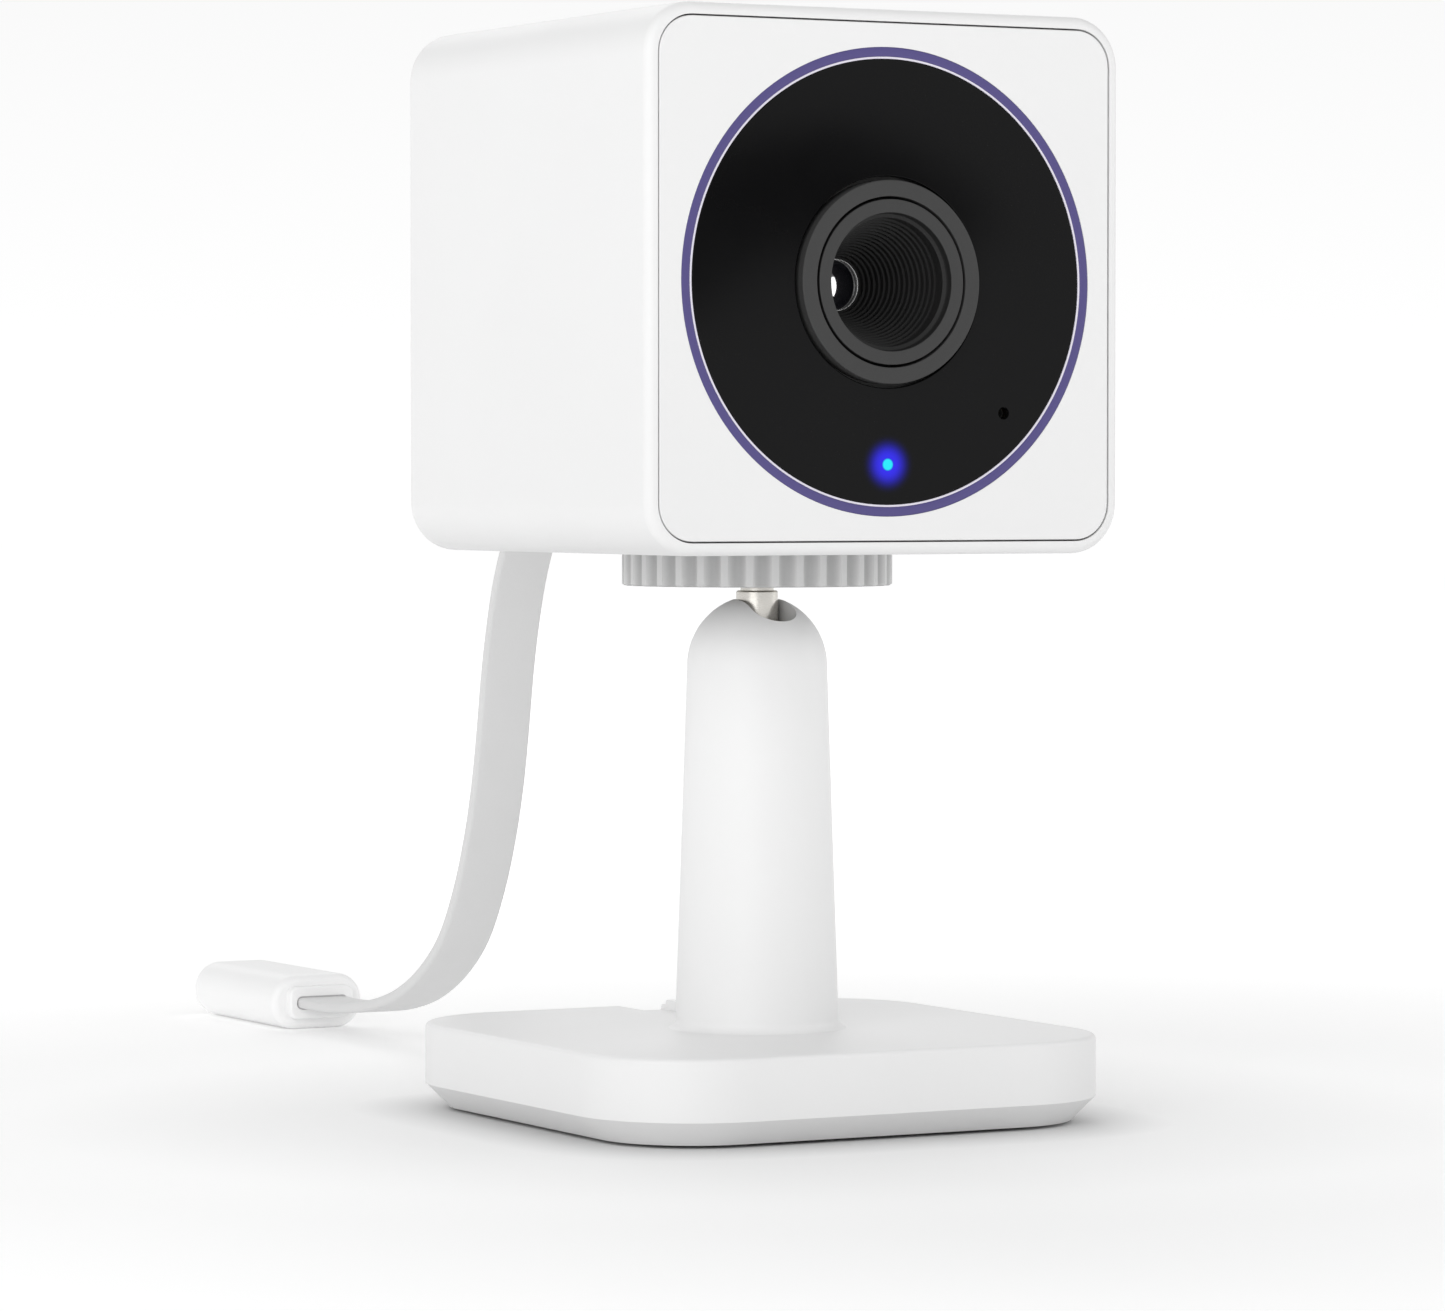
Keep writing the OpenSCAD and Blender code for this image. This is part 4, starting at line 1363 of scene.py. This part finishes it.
statusLight = {
    "core": (0.0, 0.78, 0.84),
    "rim": (0.001, 0.02, 0.6),
    "coreRadius": 0.44,
    "rimRadius": 0.58,
}


def lightPaint(size):
    s = Shader("statusLightBlue")
    edge = s.rise(s.away(ledPlace, (1, 0, 1)), size["coreRadius"] * mm, size["rimRadius"] * mm)
    return s.made(
        Base_Color=(0.02, 0.05, 0.12),
        Roughness=0.3 + s.noise(900, 2) * 0.1,
        Specular_IOR_Level=0.12,
        Emission_Color=s.blend(edge, size["core"], size["rim"]),
        Emission_Strength=1.0,
    )


speaker = {"cone": 5.6, "rim": (0.03, 0.03, 0.03), "pulp": (0.02, 0.02, 0.02), "fibre": (0.07, 0.065, 0.06)}


def speakerPaint(size):
    # pulp cone inside a plastic rim, read from the distance to its axis
    s = Shader("speakerCone")
    cone = s.away(middleOf("speaker"), (1, 0, 1)) < size["cone"] * mm
    fibre = s.noise(1600, 4, 0.7)
    return s.made(
        Base_Color=s.blend(cone, size["rim"], s.blend(fibre, size["pulp"], size["fibre"])),
        Roughness=0.5 + cone * 0.35,
        Normal=s.bump(fibre * cone, 3e-5),
    )


paint["light"] = lightPaint(statusLight)
paint["speaker"] = speakerPaint(speaker)


# Finishes of the CAD nodes that keep their own shape

kept = {
    "light": ["light_pipe", "status_led"],
    "speaker": ["speaker"],
    "steel": [
        "post_nut", "tension_plug", "cover_screws", "board_screws",
        "seat_spring", "card_socket", "usb_shell",
    ],
    "zinc": ["weight_plate"],
    "nylon": ["seat_cup", "power_header"],
    "brass": ["thread_insert", "board_spacers", "microphone"],
    "bright": ["heat_sink"],
    "copper": ["ir_cut_coil", "wifi_antenna", "board_flex"],
    "black": ["lens_barrel", "lens_holder", "filter_carriage", "processor", "memory_card", "setup_switch"],
    "rubber": ["panel_gasket", "mic_tube"],
    "cable": ["power_lead"],
    "board": ["sensor_board", "main_board", "led_board"],
    "lens": ["rear_lens"],
    "filter": ["filter_glass"],
    "sensor": ["image_sensor"],
    "emitter": ["ir_emitters"],
}
for finish, names in kept.items():
    for name in names:
        for materialSlot in nodes[name].material_slots:
            materialSlot.material = paint[finish]
print("CAD nodes finished:", sum(len(names) for names in kept.values()))


# Floor, sky and lamps

studio = {
    # in metres
    "floorSize": 8.0,
    "floorColour": 0.95,
    # painted shadow round the base: its colour, and the reach over which it fades into the paper
    "shadeColour": 0.62,
    "shade": (0.0235, 0.034),
    # painted glow of the paper: weak near the base, and strong further out
    "nearGlow": 0.145,
    "nearFade": (0.026, 0.07),
    "farGlow": 0.40,
    "farFade": (0.09, 0.30),
    "horizon": 1.30,
    "zenith": 0.66,
    "skyCurve": 0.7,
    "view": "Standard",
}
lamps = [
    {"name": "frontLeft", "place": (-1.0, -0.85, 0.5), "aim": (0, 0, 0.05), "size": 1.1, "power": 6.4},
    {"name": "right", "place": (1.2, -0.25, 0.35), "aim": (0, 0, 0.05), "size": 0.6, "power": 1.2},
    {"name": "back", "place": (0.5, 1.5, 1.2), "aim": (0, 0.1, 0.0), "size": 1.0, "power": 5.0},
    {
        "name": "lensCatch",
        "place": (0.2, -0.405, 0.079),
        "aim": (0, -0.012, 0.079),
        "size": 0.16,
        "power": 1.1,
        "lights": "lens_element_front",
    },
]


def floorPaint(size):
    # white paper with a painted shadow round the square base, and a painted glow that is weak near the base
    # and brighter the further it lies from it
    s = Shader("studioPaper")
    white = size["floorColour"]
    paper = s.blend(s.noise(3, 2), (white,) * 3, (white * 0.985,) * 3)
    x = s.node("ShaderNodeSeparateXYZ", {}, {0: s.place}, 0)
    y = s.node("ShaderNodeSeparateXYZ", {}, {0: s.place}, 1)
    square = ((x * x) ** 2 + (y * y) ** 2) ** 0.25
    # painted shadow: the paper darkens towards the square base
    outsidePaintedShadow = s.rise(square, *size["shade"])
    away = s.away(standAxis, (1, 1, 0))
    # painted glow: the paper's emission is weak near the base and strong further out
    nearBy = s.blend(s.rise(away, *size["nearFade"]), (0, 0, 0), (size["nearGlow"],) * 3)
    return s.made(
        Base_Color=s.blend(outsidePaintedShadow, (size["shadeColour"],) * 3, paper),
        Roughness=0.9,
        Specular_IOR_Level=0.0,
        Emission_Color=s.blend(s.rise(away, *size["farFade"]), nearBy, (size["farGlow"],) * 3),
        Emission_Strength=1.0,
    )


def makeFloor(size):
    bpy.ops.object.select_all(action="DESELECT")
    bpy.ops.mesh.primitive_plane_add(size=size["floorSize"], location=(0, 0, -0.01 * mm))
    bpy.ops.object.transform_apply(location=True, rotation=True, scale=True)
    floor = newest("studio_floor")
    floor.data.materials.append(floorPaint(size))


def makeSky(size):
    world = bpy.data.worlds.new("studio")
    bpy.context.scene.world = world
    world.use_nodes = True
    s = Wiring(world.node_tree)
    way = s.node("ShaderNodeTexCoord", {}, {}, "Generated")
    up = s.node("ShaderNodeSeparateXYZ", {}, {0: way}, 2)
    height = s.node("ShaderNodeMath", {"operation": "ABSOLUTE"}, {0: up})
    strength = size["horizon"] + (height ** size["skyCurve"]) * (size["zenith"] - size["horizon"])
    light = s.tree.nodes.new("ShaderNodeBackground")
    output = s.tree.nodes.new("ShaderNodeOutputWorld")
    s.feed(light.inputs["Strength"], strength)
    s.tree.links.new(light.outputs[0], output.inputs["Surface"])


def makeLamp(size):
    # a square lamp, turned to what it aims at
    data = bpy.data.lights.new(size["name"], "AREA")
    data.size = size["size"]
    data.energy = size["power"]
    lamp = bpy.data.objects.new(size["name"], data)
    lamp.location = size["place"]
    way = Vector(size["aim"]) - Vector(size["place"])
    lamp.rotation_euler = way.to_track_quat("-Z", "Y").to_euler()
    lamp.visible_camera = False
    bpy.context.scene.collection.objects.link(lamp)
    if "lights" in size:
        # this lamp only reaches one piece
        receivers = bpy.data.collections.new(size["name"])
        receivers.objects.link(bpy.data.objects[size["lights"]])
        lamp.light_linking.receiver_collection = receivers


# A small black card that the camera doesn't see, so that the glass has a shape in its gloss

flag = {
    "outline": [
        (-26, -5), (-26, 14), (-15.2, 13), (-8.1, 14.2), (-3.9, 14.2), (1.7, 12.3), (6.6, 10.2),
        (10.1, 7.8), (11.9, 5.4), (9.8, 4.1), (1.7, 2.9), (-9.2, 2.6), (-13.1, 1.7), (-16.5, 0.2),
        (-19.7, -2.6),
    ],
    "reach": 2.0,
    "colour": (0.01, 0.01, 0.01),
}


def makeFlag(size):
    # mirrors the camera in the glass, and sets each corner on the line that the glass sends back
    camera = bpy.context.scene.camera.location
    plane = lowOf("front_glass").y
    behind = Vector((camera.x, 2 * plane - camera.y, camera.z))
    bpy.ops.object.select_all(action="DESELECT")
    bpy.ops.mesh.primitive_circle_add(vertices=len(size["outline"]), radius=mm, fill_type="NGON")
    card = newest("studio_flag")
    for vert, (x, up) in zip(card.data.vertices, size["outline"]):
        seen = Vector((x * mm, plane, lensAxis.z + up * mm))
        vert.co = behind + (seen - behind) * size["reach"]
    black = Shader("studioBlack")
    card.data.materials.append(black.made(Base_Color=size["colour"], Roughness=0.9))
    card.visible_camera = False


makeFloor(studio)
makeFlag(flag)
makeSky(studio)
for lamp in lamps:
    makeLamp(lamp)
bpy.context.scene.view_settings.view_transform = studio["view"]
bpy.context.view_layer.update()
print("studio lit")
